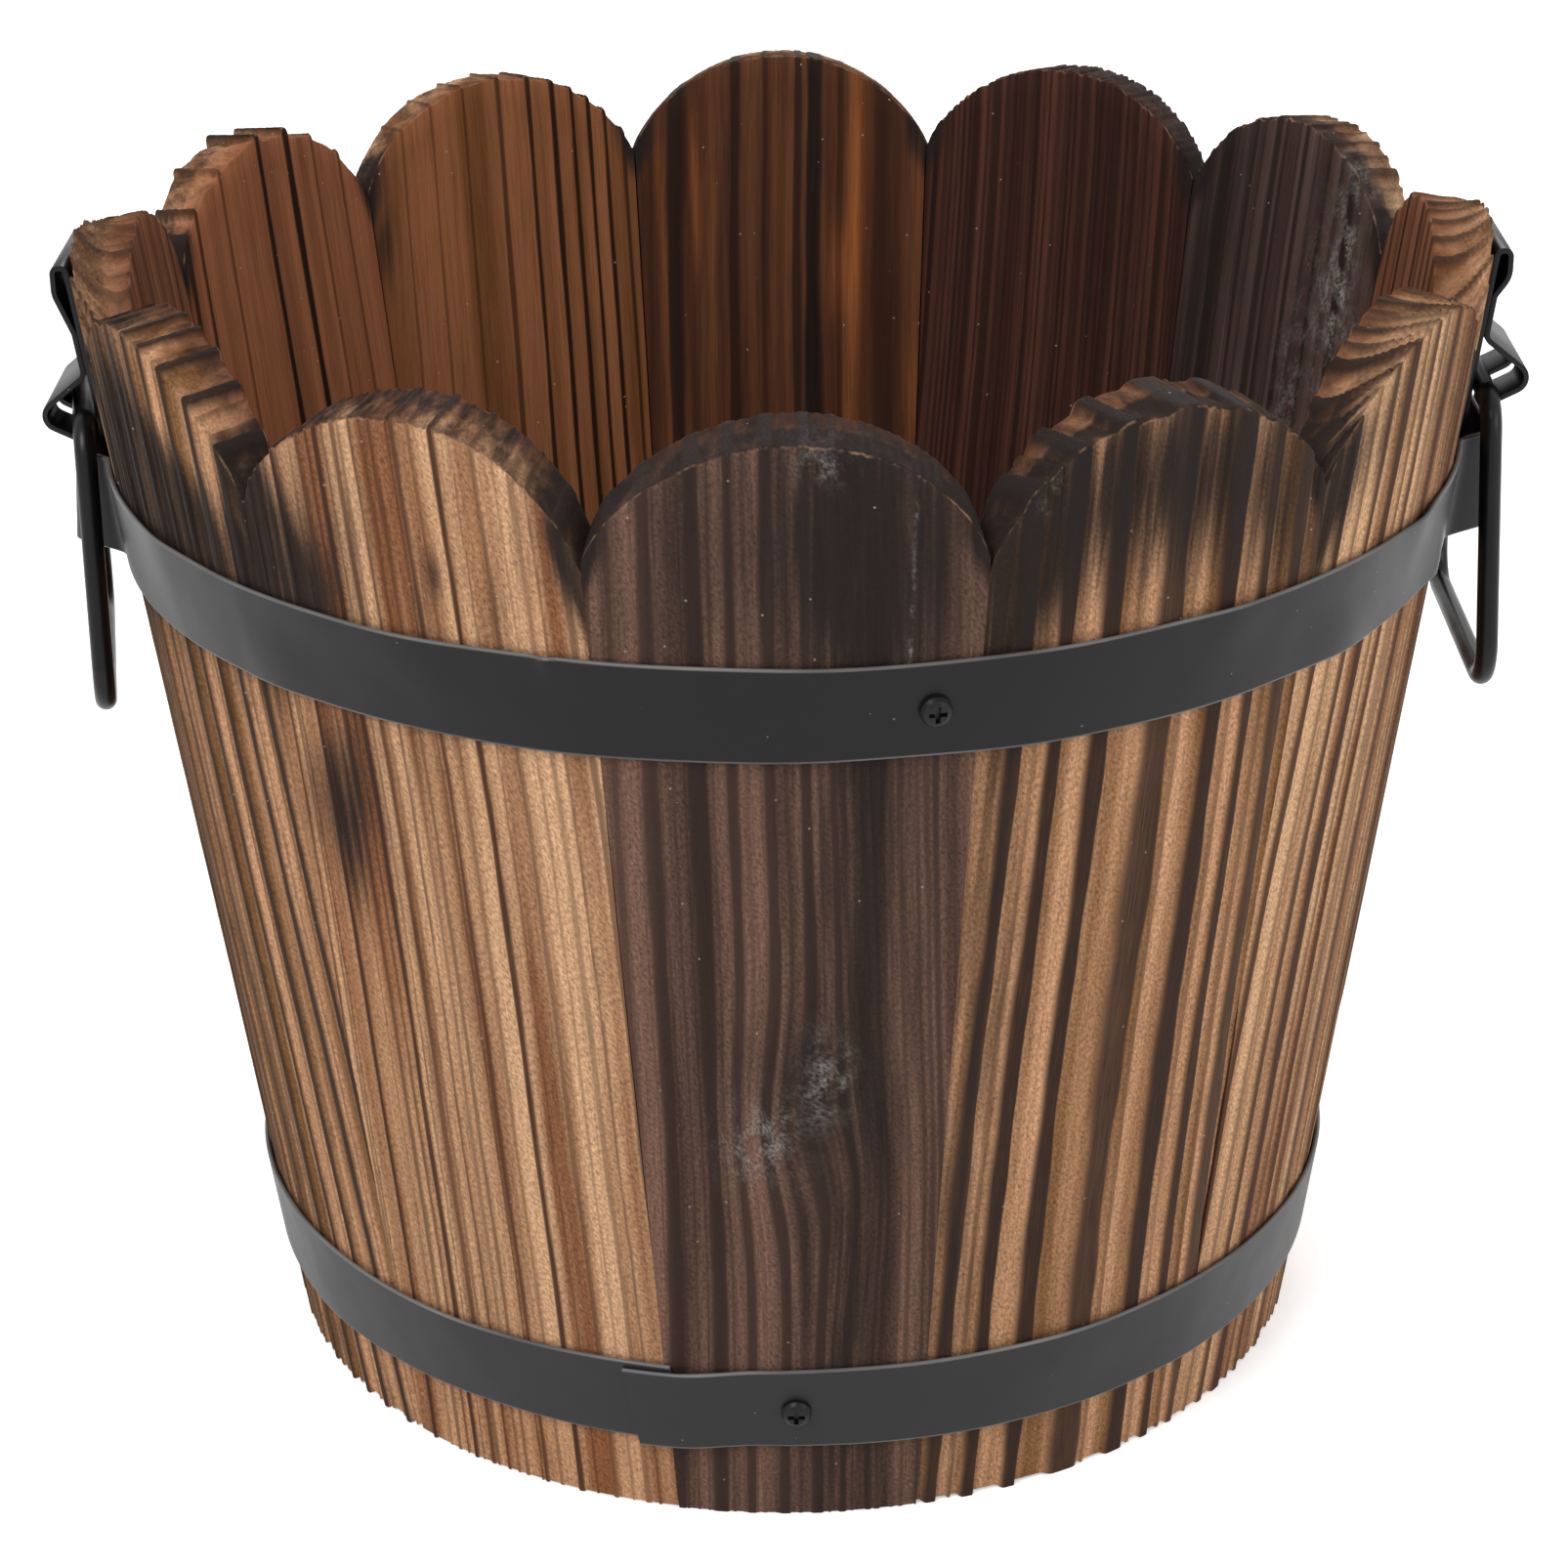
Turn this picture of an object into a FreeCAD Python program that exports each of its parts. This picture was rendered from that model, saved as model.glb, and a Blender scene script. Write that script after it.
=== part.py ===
import FreeCAD, Part
import math
import os
import Sketcher
from FreeCAD import Placement, Rotation, Vector

# A tapered wooden flower pot: scalloped staves held by two steel bands, a nailed base of
# three boards, and on each side a wire bail that hangs in a strap of folded steel strip.
# Millimetres, +Z up. The origin is on the floor under the middle, and the front looks to -Y.

STAVES = 12
STAVE_ANGLE = 360.0 / STAVES
SCREWS_PER_BAND = 3
SIDES = {"right": 0.0, "left": 180.0}
FRONT = 270.0
# Spare stock round a blank, all of it cut away again.
SPARE = 10.0
# How deep a weld joins the two layers of a lap, as a share of the band's thickness.
WELD_SHARE = 0.5
# How tight a strap folds at its top, as a share of the gap in the fold.
FOLD_SHARE = 0.49
# The crown of a pan head, as shares of the head's height and of its radius.
PAN_CROWN = [(0.45, 1.0), (0.8, 0.86), (1.0, 0.6)]
SIDEWAYS = Vector(1, 0, 0)
UPRIGHT = Vector(0, 1, 0)

SIZES = {
    # Staves
    "base_radius": 100.0,
    "lean_angle": 7.9,
    "stave_height": 215.0,
    "board_thickness": 12.4,
    "scallop_radius": 35.3,
    "front_foot_inset": 4.3,
    # Base boards
    "base_lift": 18.0,
    "base_thickness": 12.0,
    "base_joint_offset": 30.0,
    "base_joint_gap": 0.6,
    "base_fit": 0.05,
    "drain_diameter": 16.0,
    # Nails
    "nail_diameter": 1.8,
    "nail_head_diameter": 3.4,
    "nail_head_height": 0.8,
    "nail_sink": 0.7,
    "nail_length": 28.0,
    "nail_offset_angle": 4.0,
    # Bands
    "band_width": 17.4,
    "band_thickness": 0.9,
    "band_fit": 0.05,
    "lower_band_lift": 16.2,
    "upper_band_drop": 56.1,
    "lower_lap_angle": -17.0,
    "upper_lap_angle": 163.0,
    "lap_span": 4.7,
    # Screws
    "screw_diameter": 2.9,
    "screw_head_diameter": 5.4,
    "screw_head_height": 1.9,
    "screw_length": 10.0,
    "screw_point": 2.6,
    "screw_fit": 0.03,
    "recess_length": 3.0,
    "recess_width": 0.8,
    "recess_depth": 0.9,
    "upper_screw_angle": 11.0,
    "lower_screw_angle": 0.0,
    # Handle straps
    "strap_width": 24.0,
    "strap_thickness": 1.0,
    "right_loop_lift": 4.9,
    "left_loop_lift": 1.1,
    "strap_tail_lift": 1.0,
    "right_bow_rise": 3.8,
    "left_bow_rise": 7.8,
    "strap_bow_reach": 3.6,
    "strap_bow_radius": 5.0,
    "strap_fold_rise": 4.8,
    "strap_fold_gap": 2.4,
    "strap_bend_radius": 2.0,
    "neck_rise": 3.6,
    "neck_drop": 4.5,
    "loop_reach": 12.6,
    "loop_drop": 11.2,
    "loop_tip_radius": 2.6,
    "loop_return_drop": 17.0,
    "loop_return_reach": 4.0,
    "loop_end_length": 1.5,
    "loop_slot_width": 5.0,
    "layer_gap": 0.05,
    # Bulges of the upper band over the straps
    "bulge_front_gap": 0.4,
    "bulge_foot_flare": 2.2,
    "bulge_side_gap": 0.6,
    "bulge_side_flare": 3.5,
    # Bails
    "wire_diameter": 4.0,
    "bail_play": 0.3,
    "bail_top_reach": 19.0,
    "bail_foot_reach": 31.0,
    "bail_drop": 51.5,
    "bail_bend_radius": 7.0,
    "left_bail_twist": 9.0,
}

doc = FreeCAD.newDocument("flower_pot")
sheet = doc.addObject("Spreadsheet::Sheet", "sizes")
for row, (alias, size) in enumerate(SIZES.items(), start=1):
    sheet.set(f"A{row}", alias)
    sheet.set(f"B{row}", str(size))
    sheet.setAlias(f"B{row}", alias)
doc.recompute()

# Expressions that several pieces share

LEAN = "sizes.lean_angle"
LEVEL_BOARD = f"(sizes.board_thickness / cos({LEAN}))"
LEVEL_BAND = f"(sizes.band_thickness / cos({LEAN}))"
LEVEL_FIT = f"(sizes.band_fit / cos({LEAN}))"
BAND_SEAT = "(sizes.band_fit + sizes.band_thickness)"
NAIL_HEIGHT = "(sizes.base_lift + sizes.base_thickness / 2)"
NAIL_ANGLE = "(360 - sizes.nail_offset_angle)"
UPPER_BAND_LIFT = "(sizes.stave_height - sizes.upper_band_drop)"
UPPER_BAND_TOP = f"({UPPER_BAND_LIFT} + sizes.band_width)"
# Height of the screw of each strap, whose loop hangs a little above the band.
STRAP_HEIGHTS = {side: f"({UPPER_BAND_TOP} + sizes.{side}_loop_lift + sizes.loop_return_drop * cos({LEAN}))"
                 for side in SIDES}


def outer_radius(height):
    """Radius of the outside of the staves at a height."""
    return f"(sizes.base_radius + ({height}) * tan({LEAN}))"


def inner_radius(height):
    """Distance from the middle of the pot to the flat inside of a stave at a height."""
    return f"({outer_radius(height)} - {LEVEL_BOARD})"


def slope_point(height, outward, upward):
    """Level and upright place of a point given square to the outside of a stave and along it."""
    level = f"({outer_radius(height)} + ({outward}) * cos({LEAN}) + ({upward}) * sin({LEAN}))"
    upright = f"(({height}) - ({outward}) * sin({LEAN}) + ({upward}) * cos({LEAN}))"
    return level, upright


def number(text):
    """The present value of an expression."""
    return float(sheet.evalExpression(str(text)))


# Sketches

def new_body(label):
    body = doc.addObject("PartDesign::Body", label)
    body.Label = label
    return body


def origin_feature(body, role):
    return next(item for item in body.Origin.OriginFeatures if item.Role == role)


def new_sketch(body, name, role):
    sketch = body.newObject("Sketcher::SketchObject", f"{body.Name}_{name}")
    sketch.AttachmentSupport = [(origin_feature(body, role), "")]
    sketch.MapMode = "FlatFace"
    return sketch


def turn_sketch(sketch, axis, angle):
    sketch.AttachmentOffset = Placement(Vector(), Rotation(axis, number(angle)))
    sketch.setExpression("AttachmentOffset.Rotation.Angle", str(angle))


def shift_sketch(sketch, direction, distance):
    sketch.setExpression(f"AttachmentOffset.Base.{direction}", str(distance))


def radial_sketch(body, name, angle):
    """A sketch whose x runs out from the pot's axis at an angle and whose y runs up."""
    sketch = new_sketch(body, name, "XZ_Plane")
    if number(angle) != 0:
        turn_sketch(sketch, UPRIGHT, angle)
    return sketch


def slope_sketch(body, name, distance):
    """A sketch square to the board's thickness, at a distance out from the pot's middle."""
    sketch = new_sketch(body, name, "YZ_Plane")
    turn_sketch(sketch, SIDEWAYS, LEAN)
    shift_sketch(sketch, "y", f"-sin({LEAN}) * ({distance})")
    shift_sketch(sketch, "z", f"cos({LEAN}) * ({distance})")
    return sketch


def place_point(sketch, geometry, vertex, x, y):
    for kind, text in (("DistanceX", x), ("DistanceY", y)):
        constraint = Sketcher.Constraint(kind, -1, 1, geometry, vertex, number(text))
        index = sketch.addConstraint(constraint)
        sketch.setExpression(f"Constraints[{index}]", str(text))


def bind_radius(sketch, geometry, radius):
    index = sketch.addConstraint(Sketcher.Constraint("Radius", geometry, number(radius)))
    sketch.setExpression(f"Constraints[{index}]", str(radius))


def add_polygon(sketch, corners):
    """A closed outline through corners given as pairs of expressions."""
    points = [Vector(number(x), number(y), 0) for x, y in corners]
    first = sketch.GeometryCount
    for start, end in zip(points, points[1:] + points[:1]):
        sketch.addGeometry(Part.LineSegment(start, end), False)
    for index, (x, y) in enumerate(corners):
        following = first + (index + 1) % len(corners)
        sketch.addConstraint(Sketcher.Constraint("Coincident", first + index, 2, following, 1))
        place_point(sketch, first + index, 1, x, y)


def add_circle(sketch, x, y, radius):
    centre = Vector(number(x), number(y), 0)
    circle = sketch.addGeometry(Part.Circle(centre, Vector(0, 0, 1), number(radius)), False)
    place_point(sketch, circle, 3, x, y)
    bind_radius(sketch, circle, radius)


def add_axis(sketch, start, end):
    """A construction line, which a revolved feature turns about as Axis0."""
    points = [Vector(number(x), number(y), 0) for x, y in (start, end)]
    line = sketch.addGeometry(Part.LineSegment(*points), True)
    place_point(sketch, line, 1, *start)
    place_point(sketch, line, 2, *end)


def add_rounded_path(sketch, corners, radii):
    """An open path of straight runs whose inner corners are rounded by tangent arcs."""
    points = [Vector(number(x), number(y), 0) for x, y in corners]
    ends = [points[0]]
    centres = []
    for before, corner, after, radius in zip(points, points[1:], points[2:], radii):
        inward = (before - corner).normalize()
        onward = (after - corner).normalize()
        middle = (inward + onward).normalize()
        centre = corner + middle * (number(radius) / math.sin(inward.getAngle(onward) / 2))
        ends.append(corner + inward * ((centre - corner) * inward))
        ends.append(corner + onward * ((centre - corner) * onward))
        centres.append(centre)
    ends.append(points[-1])
    lines = []
    for start, end in zip(ends[0::2], ends[1::2]):
        lines.append(sketch.addGeometry(Part.LineSegment(start, end), False))
    place_point(sketch, lines[0], 1, *corners[0])
    place_point(sketch, lines[-1], 2, *corners[-1])
    for index, centre in enumerate(centres):
        start, end = ends[2 * index + 1], ends[2 * index + 2]
        bend = add_bend(sketch, lines[index:index + 2], start - centre, end - centre, centre)
        bind_radius(sketch, bend, radii[index])
        hold_corner(sketch, lines[index:index + 2], corners[index + 1])


def add_bend(sketch, lines, start, end, centre):
    """An arc round a centre that runs on from one line and into the next."""
    left_turn = start.cross(end).z > 0
    first, last = (start, end) if left_turn else (end, start)
    angles = [math.atan2(point.y, point.x) for point in (first, last)]
    circle = Part.Circle(centre, Vector(0, 0, 1), start.Length)
    bend = sketch.addGeometry(Part.ArcOfCircle(circle, *angles), False)
    near, far = (1, 2) if left_turn else (2, 1)
    sketch.addConstraint(Sketcher.Constraint("Tangent", lines[0], 2, bend, near))
    sketch.addConstraint(Sketcher.Constraint("Tangent", bend, far, lines[1], 1))
    return bend


def hold_corner(sketch, lines, corner):
    """Keep the sharp corner of two lines in its place."""
    place = Vector(number(corner[0]), number(corner[1]), 0)
    mark = sketch.addGeometry(Part.Point(place), True)
    place_point(sketch, mark, 1, *corner)
    for line in lines:
        sketch.addConstraint(Sketcher.Constraint("PointOnObject", mark, 1, line))


# Features

def add_feature(body, kind, sketch, name, **settings):
    feature = body.newObject(f"PartDesign::{kind}", f"{body.Name}_{name}")
    feature.Profile = sketch
    for key, setting in settings.items():
        setattr(feature, key, setting)
    return feature


def pad_evenly(body, sketch, name, width):
    pad = add_feature(body, "Pad", sketch, name, SideType="Symmetric")
    pad.setExpression("Length", width)
    return pad


def cut_through(body, sketch, name):
    return add_feature(body, "Pocket", sketch, name, SideType="Symmetric", Type="ThroughAll")


def revolve(body, kind, sketch, name, axis="V_Axis"):
    return add_feature(body, kind, sketch, name, ReferenceAxis=(sketch, [axis]), Angle=360.0)


def repeat_round(body, features, name, count):
    """Repeat features evenly round the pot's axis."""
    pattern = body.newObject("PartDesign::PolarPattern", f"{body.Name}_{name}")
    pattern.Originals = features
    pattern.Axis = (origin_feature(body, "Z_Axis"), [""])
    pattern.Angle = 360.0
    pattern.Occurrences = count
    body.Tip = pattern
    return pattern


def turned_profile(sketch, height, tilt, steps):
    """The half outline of a turned piece, as steps of (outward, radius) along its axis.

    A tilted piece stands square to the outside of a stave, and any other lies level.
    """
    def place(outward, radius):
        if tilt:
            return slope_point(height, outward, radius)
        return f"({outer_radius(height)} + ({outward}))", f"(({height}) + ({radius}))"

    inner, outer = steps[0][0], steps[-1][0]
    corners = [place(inner, 0)] + [place(*step) for step in steps] + [place(outer, 0)]
    unique = [corner for index, corner in enumerate(corners) if corner not in corners[:index]]
    add_polygon(sketch, unique)
    add_axis(sketch, place(inner, 0), place(outer, 0))


def drill(body, name, angle, height, tilt, steps):
    """Cut a round hole, whose steps run from its bottom outwards."""
    sketch = radial_sketch(body, name, angle)
    turned_profile(sketch, height, tilt, steps)
    return revolve(body, "Groove", sketch, f"{name}_cut", "Axis0")


# Screws and nails, and the holes that they sit in

SHANK = "(sizes.screw_diameter / 2)"
SHANK_HOLE = f"({SHANK} + sizes.screw_fit)"
HEAD = "(sizes.screw_head_diameter / 2)"
NAIL = "(sizes.nail_diameter / 2)"
NAIL_HOLE = f"({NAIL} + sizes.screw_fit)"
NAIL_HEAD = "(sizes.nail_head_diameter / 2)"
NAIL_HEAD_HOLE = f"({NAIL_HEAD} + sizes.screw_fit)"
NAIL_SEAT = "(sizes.nail_sink + sizes.nail_head_height)"


def screw_steps(seat):
    """Outline of a pan-head screw, from its point out, whose head sits at a seat."""
    point = f"({seat} - sizes.screw_length)"
    shank = [(point, 0), (f"({point} + sizes.screw_point)", SHANK), (seat, SHANK)]
    crown = [(f"({seat} + sizes.screw_head_height * {rise})", f"({HEAD} * {share})")
             for rise, share in PAN_CROWN]
    return shank + [(seat, HEAD)] + crown


def pilot_steps(seat):
    """Outline of the blind hole that a screw of that seat has in a stave."""
    bottom = f"({seat} - sizes.screw_length - sizes.screw_fit)"
    return [(bottom, SHANK_HOLE), (f"{SPARE}", SHANK_HOLE)]


def cut_recess(body, sketch, x, y):
    """The cross recess of a screw's head, drawn on the top of the head."""
    arm, half = "(sizes.recess_length / 2)", "(sizes.recess_width / 2)"
    quarter = [(arm, half), (half, half), (half, arm)]
    signs = [(1, 1), (-1, 1), (-1, -1), (1, -1)]
    corners = []
    for index, (sign_x, sign_y) in enumerate(signs):
        ordered = quarter if index % 2 == 0 else quarter[::-1]
        corners += [(f"({x}) + {sign_x} * {a}", f"({y}) + {sign_y} * {b}") for a, b in ordered]
    add_polygon(sketch, corners)
    recess = add_feature(body, "Pocket", sketch, "recess")
    recess.setExpression("Length", "sizes.recess_depth")
    return recess


def band_screws(label, angle, height):
    """The screws of one band, square to the cone of the staves."""
    body = new_body(label)
    body.AllowCompound = True
    sketch = radial_sketch(body, "outline", 0)
    turned_profile(sketch, height, True, screw_steps(BAND_SEAT))
    shank = revolve(body, "Revolution", sketch, "turned", "Axis0")
    top = f"(sizes.base_radius * cos({LEAN}) + {BAND_SEAT} + sizes.screw_head_height)"
    along = f"({outer_radius(height)} * sin({LEAN}) + {height} * cos({LEAN}))"
    recess = cut_recess(body, slope_sketch(body, "cross", top), 0, along)
    repeat_round(body, [shank, recess], "round", SCREWS_PER_BAND)
    body.Placement = Placement(Vector(), Rotation(Vector(0, 0, 1), FRONT + number(angle)))
    body.setExpression("Placement.Rotation.Angle", f"{FRONT} + {angle}")
    return body


def base_nails():
    """One nail per stave, driven level into the edge of the base."""
    body = new_body("base_nails")
    body.AllowCompound = True
    sketch = radial_sketch(body, "outline", NAIL_ANGLE)
    steps = [
        (f"(-{NAIL_SEAT} - sizes.nail_length)", NAIL),
        (f"(-{NAIL_SEAT})", NAIL),
        (f"(-{NAIL_SEAT})", NAIL_HEAD),
        ("(-sizes.nail_sink)", NAIL_HEAD),
    ]
    turned_profile(sketch, NAIL_HEIGHT, False, steps)
    nail = revolve(body, "Revolution", sketch, "turned", "Axis0")
    repeat_round(body, [nail], "round", STAVES)
    return body


def drill_for_nail(body):
    steps = [
        (f"(-{NAIL_SEAT} - sizes.nail_length - sizes.screw_fit)", NAIL_HOLE),
        (f"(-{NAIL_SEAT})", NAIL_HOLE),
        (f"(-{NAIL_SEAT})", NAIL_HEAD_HOLE),
        (f"{SPARE}", NAIL_HEAD_HOLE),
    ]
    return drill(body, "nail", NAIL_ANGLE, NAIL_HEIGHT, False, steps)


# Staves

UPPER_SCREW_HEIGHT = f"({UPPER_BAND_LIFT} + sizes.band_width / 2)"
LOWER_SCREW_HEIGHT = "(sizes.lower_band_lift + sizes.band_width / 2)"
STRAP_SEAT = "(sizes.layer_gap * 2 + sizes.strap_thickness * 2)"


def saw_edge(body, side, foot_shift):
    """Saw one long edge to its seam, which foot_shift moves sideways at the floor."""
    sketch = new_sketch(body, f"edge_{'next' if side > 0 else 'last'}", "YZ_Plane")
    sketch.AttachmentOffset = Placement(Vector(), Rotation(UPRIGHT, side * STAVE_ANGLE / 2))
    low, high = f"-{SPARE}", f"(sizes.stave_height + 2 * {SPARE})"
    far = f"{side} * sizes.base_radius"
    corners = [(f"({foot_shift}) * (1 - ({z}) / sizes.stave_height)", z) for z in (low, high)]
    add_polygon(sketch, corners + [(far, high), (far, low)])
    return cut_through(body, sketch, f"{sketch.Name}_cut")


def round_outside(body):
    """Turn the outside of the board to the cone of the pot."""
    sketch = radial_sketch(body, "cone", 0)
    low, high = f"-{SPARE}", f"(sizes.stave_height + 2 * {SPARE})"
    far = f"({outer_radius(high)} + 4 * {SPARE})"
    add_polygon(sketch, [(outer_radius(low), low), (outer_radius(high), high), (far, high), (far, low)])
    return revolve(body, "Groove", sketch, "cone_cut")


def cut_scallop(body):
    """Round the top of the board, square to its face."""
    sketch = slope_sketch(body, "scallop", 0)
    radius = "sizes.scallop_radius"
    crown = f"(sizes.base_radius * sin({LEAN}) + sizes.stave_height / cos({LEAN}))"
    shoulder = f"({crown} - {radius})"
    side = f"({radius} + {SPARE})"
    top = f"({crown} + 3 * {SPARE})"
    centre = Vector(0, number(shoulder), 0)
    circle = Part.Circle(centre, Vector(0, 0, 1), number(radius))
    arc = sketch.addGeometry(Part.ArcOfCircle(circle, 0, math.pi), False)
    place_point(sketch, arc, 3, 0, shoulder)
    bind_radius(sketch, arc, radius)
    corners = [(f"-{radius}", shoulder), (f"-{side}", shoulder), (f"-{side}", top)]
    corners += [(side, top), (side, shoulder), (radius, shoulder)]
    points = [Vector(number(x), number(y), 0) for x, y in corners]
    lines = []
    for start, end in zip(points, points[1:]):
        lines.append(sketch.addGeometry(Part.LineSegment(start, end), False))
    for line, next_line in zip(lines, lines[1:]):
        sketch.addConstraint(Sketcher.Constraint("Coincident", line, 2, next_line, 1))
    for line, (x, y) in zip(lines[1:], corners[1:]):
        place_point(sketch, line, 1, x, y)
    sketch.addConstraint(Sketcher.Constraint("Coincident", arc, 2, lines[0], 1))
    sketch.addConstraint(Sketcher.Constraint("Coincident", lines[-1], 2, arc, 1))
    sketch.addConstraint(Sketcher.Constraint("Horizontal", lines[0]))
    sketch.addConstraint(Sketcher.Constraint("Horizontal", lines[-1]))
    return cut_through(body, sketch, "scallop_cut")


def stave(index, last_shift, next_shift):
    """One stave: a board sawn to two seams, turned outside, scalloped and drilled."""
    body = new_body(f"stave_{index + 1:02d}")
    sketch = radial_sketch(body, "board", 0)
    high = f"(sizes.stave_height + {SPARE})"
    corners = [
        (inner_radius(0), 0),
        (f"({outer_radius(0)} + {SPARE})", 0),
        (f"({outer_radius(high)} + {SPARE})", high),
        (inner_radius(high), high),
    ]
    add_polygon(sketch, corners)
    pad_evenly(body, sketch, "blank", f"2 * ({outer_radius(high)} * tan({STAVE_ANGLE / 2}) + {SPARE})")
    saw_edge(body, -1, last_shift)
    saw_edge(body, 1, next_shift)
    round_outside(body)
    cut_scallop(body)
    drill_for_nail(body)
    if index % (STAVES // SCREWS_PER_BAND) == 0:
        pilot = pilot_steps(BAND_SEAT)
        drill(body, "upper_pilot", "sizes.upper_screw_angle", UPPER_SCREW_HEIGHT, True, pilot)
        drill(body, "lower_pilot", "sizes.lower_screw_angle", LOWER_SCREW_HEIGHT, True, pilot)
    angle = (FRONT + index * STAVE_ANGLE) % 360
    for side, side_angle in SIDES.items():
        if angle == side_angle:
            drill(body, "strap_pilot", 0, STRAP_HEIGHTS[side], True, pilot_steps(STRAP_SEAT))
    body.Placement = Placement(Vector(), Rotation(Vector(0, 0, 1), angle))
    return body


def make_staves():
    """The ring of staves. The front one is sawn narrower at its foot than the others."""
    shifts = {0: "sizes.front_foot_inset", 1: "-sizes.front_foot_inset"}
    return [stave(index, shifts.get(index, "0"), shifts.get(index + 1 if index + 1 < STAVES else 0, "0"))
            for index in range(STAVES)]


# Base

def base_outline(body, name, height):
    """The outline of the base at a height, flush with the flat insides of the staves."""
    sketch = new_sketch(body, name, "XY_Plane")
    shift_sketch(sketch, "z", height)
    corner = f"(({inner_radius(height)} - sizes.base_fit) / cos({STAVE_ANGLE / 2}))"
    angles = [(index + 0.5) * STAVE_ANGLE for index in range(STAVES)]
    add_polygon(sketch, [(f"{corner} * cos({a})", f"{corner} * sin({a})") for a in angles])
    return sketch


def base_board(label, last, following):
    """One board of the base, which keeps what lies between two joints across the pot."""
    body = new_body(label)
    foot = base_outline(body, "underside", "sizes.base_lift")
    top = base_outline(body, "upside", "(sizes.base_lift + sizes.base_thickness)")
    add_feature(body, "AdditiveLoft", foot, "blank", Sections=[top], Ruled=True)
    hole = drill_for_nail(body)
    repeat_round(body, [hole], "nail_holes", STAVES)
    far = f"(sizes.base_radius + {SPARE})"
    for side, joint in ((-1, last), (1, following)):
        if joint is None:
            continue
        edge = f"({joint} - {side} * sizes.base_joint_gap / 2)"
        sketch = new_sketch(body, f"joint_{'last' if side < 0 else 'next'}", "XY_Plane")
        end = f"{side} * {far}"
        add_polygon(sketch, [(edge, f"-{far}"), (end, f"-{far}"), (end, far), (edge, far)])
        cut_through(body, sketch, f"{sketch.Name}_cut")
    return body


def make_base():
    joint = "sizes.base_joint_offset"
    boards = [
        base_board("base_board_left", None, f"(-{joint})"),
        base_board("base_board_middle", f"(-{joint})", joint),
        base_board("base_board_right", joint, None),
    ]
    middle = boards[1]
    sketch = new_sketch(middle, "drain", "XY_Plane")
    add_circle(sketch, 0, 0, "sizes.drain_diameter / 2")
    cut_through(middle, sketch, "drain_cut")
    return boards


# Bands

def band_profile(sketch, lift, inner, outer):
    """The section of a band between two distances out from the staves."""
    high = f"({lift} + sizes.band_width)"
    corners = [(inner, lift), (outer, lift), (outer, high), (inner, high)]
    add_polygon(sketch, [(f"({outer_radius(z)} + {reach})", z) for reach, z in corners])


def lapped_ring(label, lift, lap_angle):
    """A strip bent to a ring on the cone of the staves, with its end lapped and welded."""
    body = new_body(label)
    sketch = radial_sketch(body, "section", 0)
    band_profile(sketch, lift, LEVEL_FIT, f"({LEVEL_FIT} + {LEVEL_BAND})")
    revolve(body, "Revolution", sketch, "ring")
    lap = radial_sketch(body, "lap", f"{FRONT} + {lap_angle}")
    weld = f"({LEVEL_FIT} + {WELD_SHARE} * {LEVEL_BAND})"
    band_profile(lap, lift, weld, f"({LEVEL_FIT} + 2 * {LEVEL_BAND})")
    end = revolve(body, "Revolution", lap, "lap_end")
    end.setExpression("Angle", "sizes.lap_span")
    return body


def bulge_outline(body, name, height, wall):
    """Outline over a strap, seen from above: its outer side, or inside its wall.

    It clears the end of the strap's loop at the top of the band, and stands out more below.
    """
    sketch = new_sketch(body, name, "XY_Plane")
    shift_sketch(sketch, "z", height)
    radius = outer_radius(height)
    room = f"((sizes.loop_return_reach + sizes.strap_thickness / 2 + sizes.bulge_front_gap) / cos({LEAN}))"
    below = f"(({UPPER_BAND_TOP} - ({height})) / sizes.band_width)"
    depth = f"({room} + {LEVEL_BAND} + sizes.bulge_foot_flare * {below})"
    side = f"sqrt(1 + (sizes.bulge_side_flare / {depth}) ^ 2) * {LEVEL_BAND}"
    narrow = f"(sizes.strap_width / 2 + sizes.bulge_side_gap + {1 - wall} * {side})"
    wide = f"({narrow} + sizes.bulge_side_flare)"
    ring = f"sqrt(({radius} + {LEVEL_FIT} + {LEVEL_BAND} / 2) ^ 2 - {wide} ^ 2)"
    front = f"({radius} + {depth} - {wall} * {LEVEL_BAND})"
    half = [(front, narrow), (ring, wide)]
    if wall:
        half.append((f"({ring} - {SPARE})", wide))
    mirrored = [(x, f"-{y}") for x, y in half]
    add_polygon(sketch, half + mirrored[::-1])
    return sketch


def bulge_over_straps(body, lift):
    """Press the band out over the tail of the strap on each side."""
    high = f"({lift} + sizes.band_width)"
    below, above = f"({lift} - {SPARE})", f"({high} + {SPARE})"
    outside = [bulge_outline(body, f"bulge_{name}", z, 0) for name, z in (("low", lift), ("high", high))]
    block = add_feature(body, "AdditiveLoft", outside[0], "bulge", Sections=outside[1:], Ruled=True)
    inside = [bulge_outline(body, f"inside_{name}", z, 1) for name, z in (("low", below), ("high", above))]
    room = add_feature(body, "SubtractiveLoft", inside[0], "room", Sections=inside[1:], Ruled=True)
    repeat_round(body, [block, room], "bulges", len(SIDES))


def drill_band(body, angle, height):
    """Clearance holes of the band's screws."""
    steps = [(f"-{SPARE}", SHANK_HOLE), (f"{SPARE}", SHANK_HOLE)]
    hole = drill(body, "screw_hole", f"{FRONT} + {angle}", height, True, steps)
    repeat_round(body, [hole], "screw_holes", SCREWS_PER_BAND)


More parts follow.
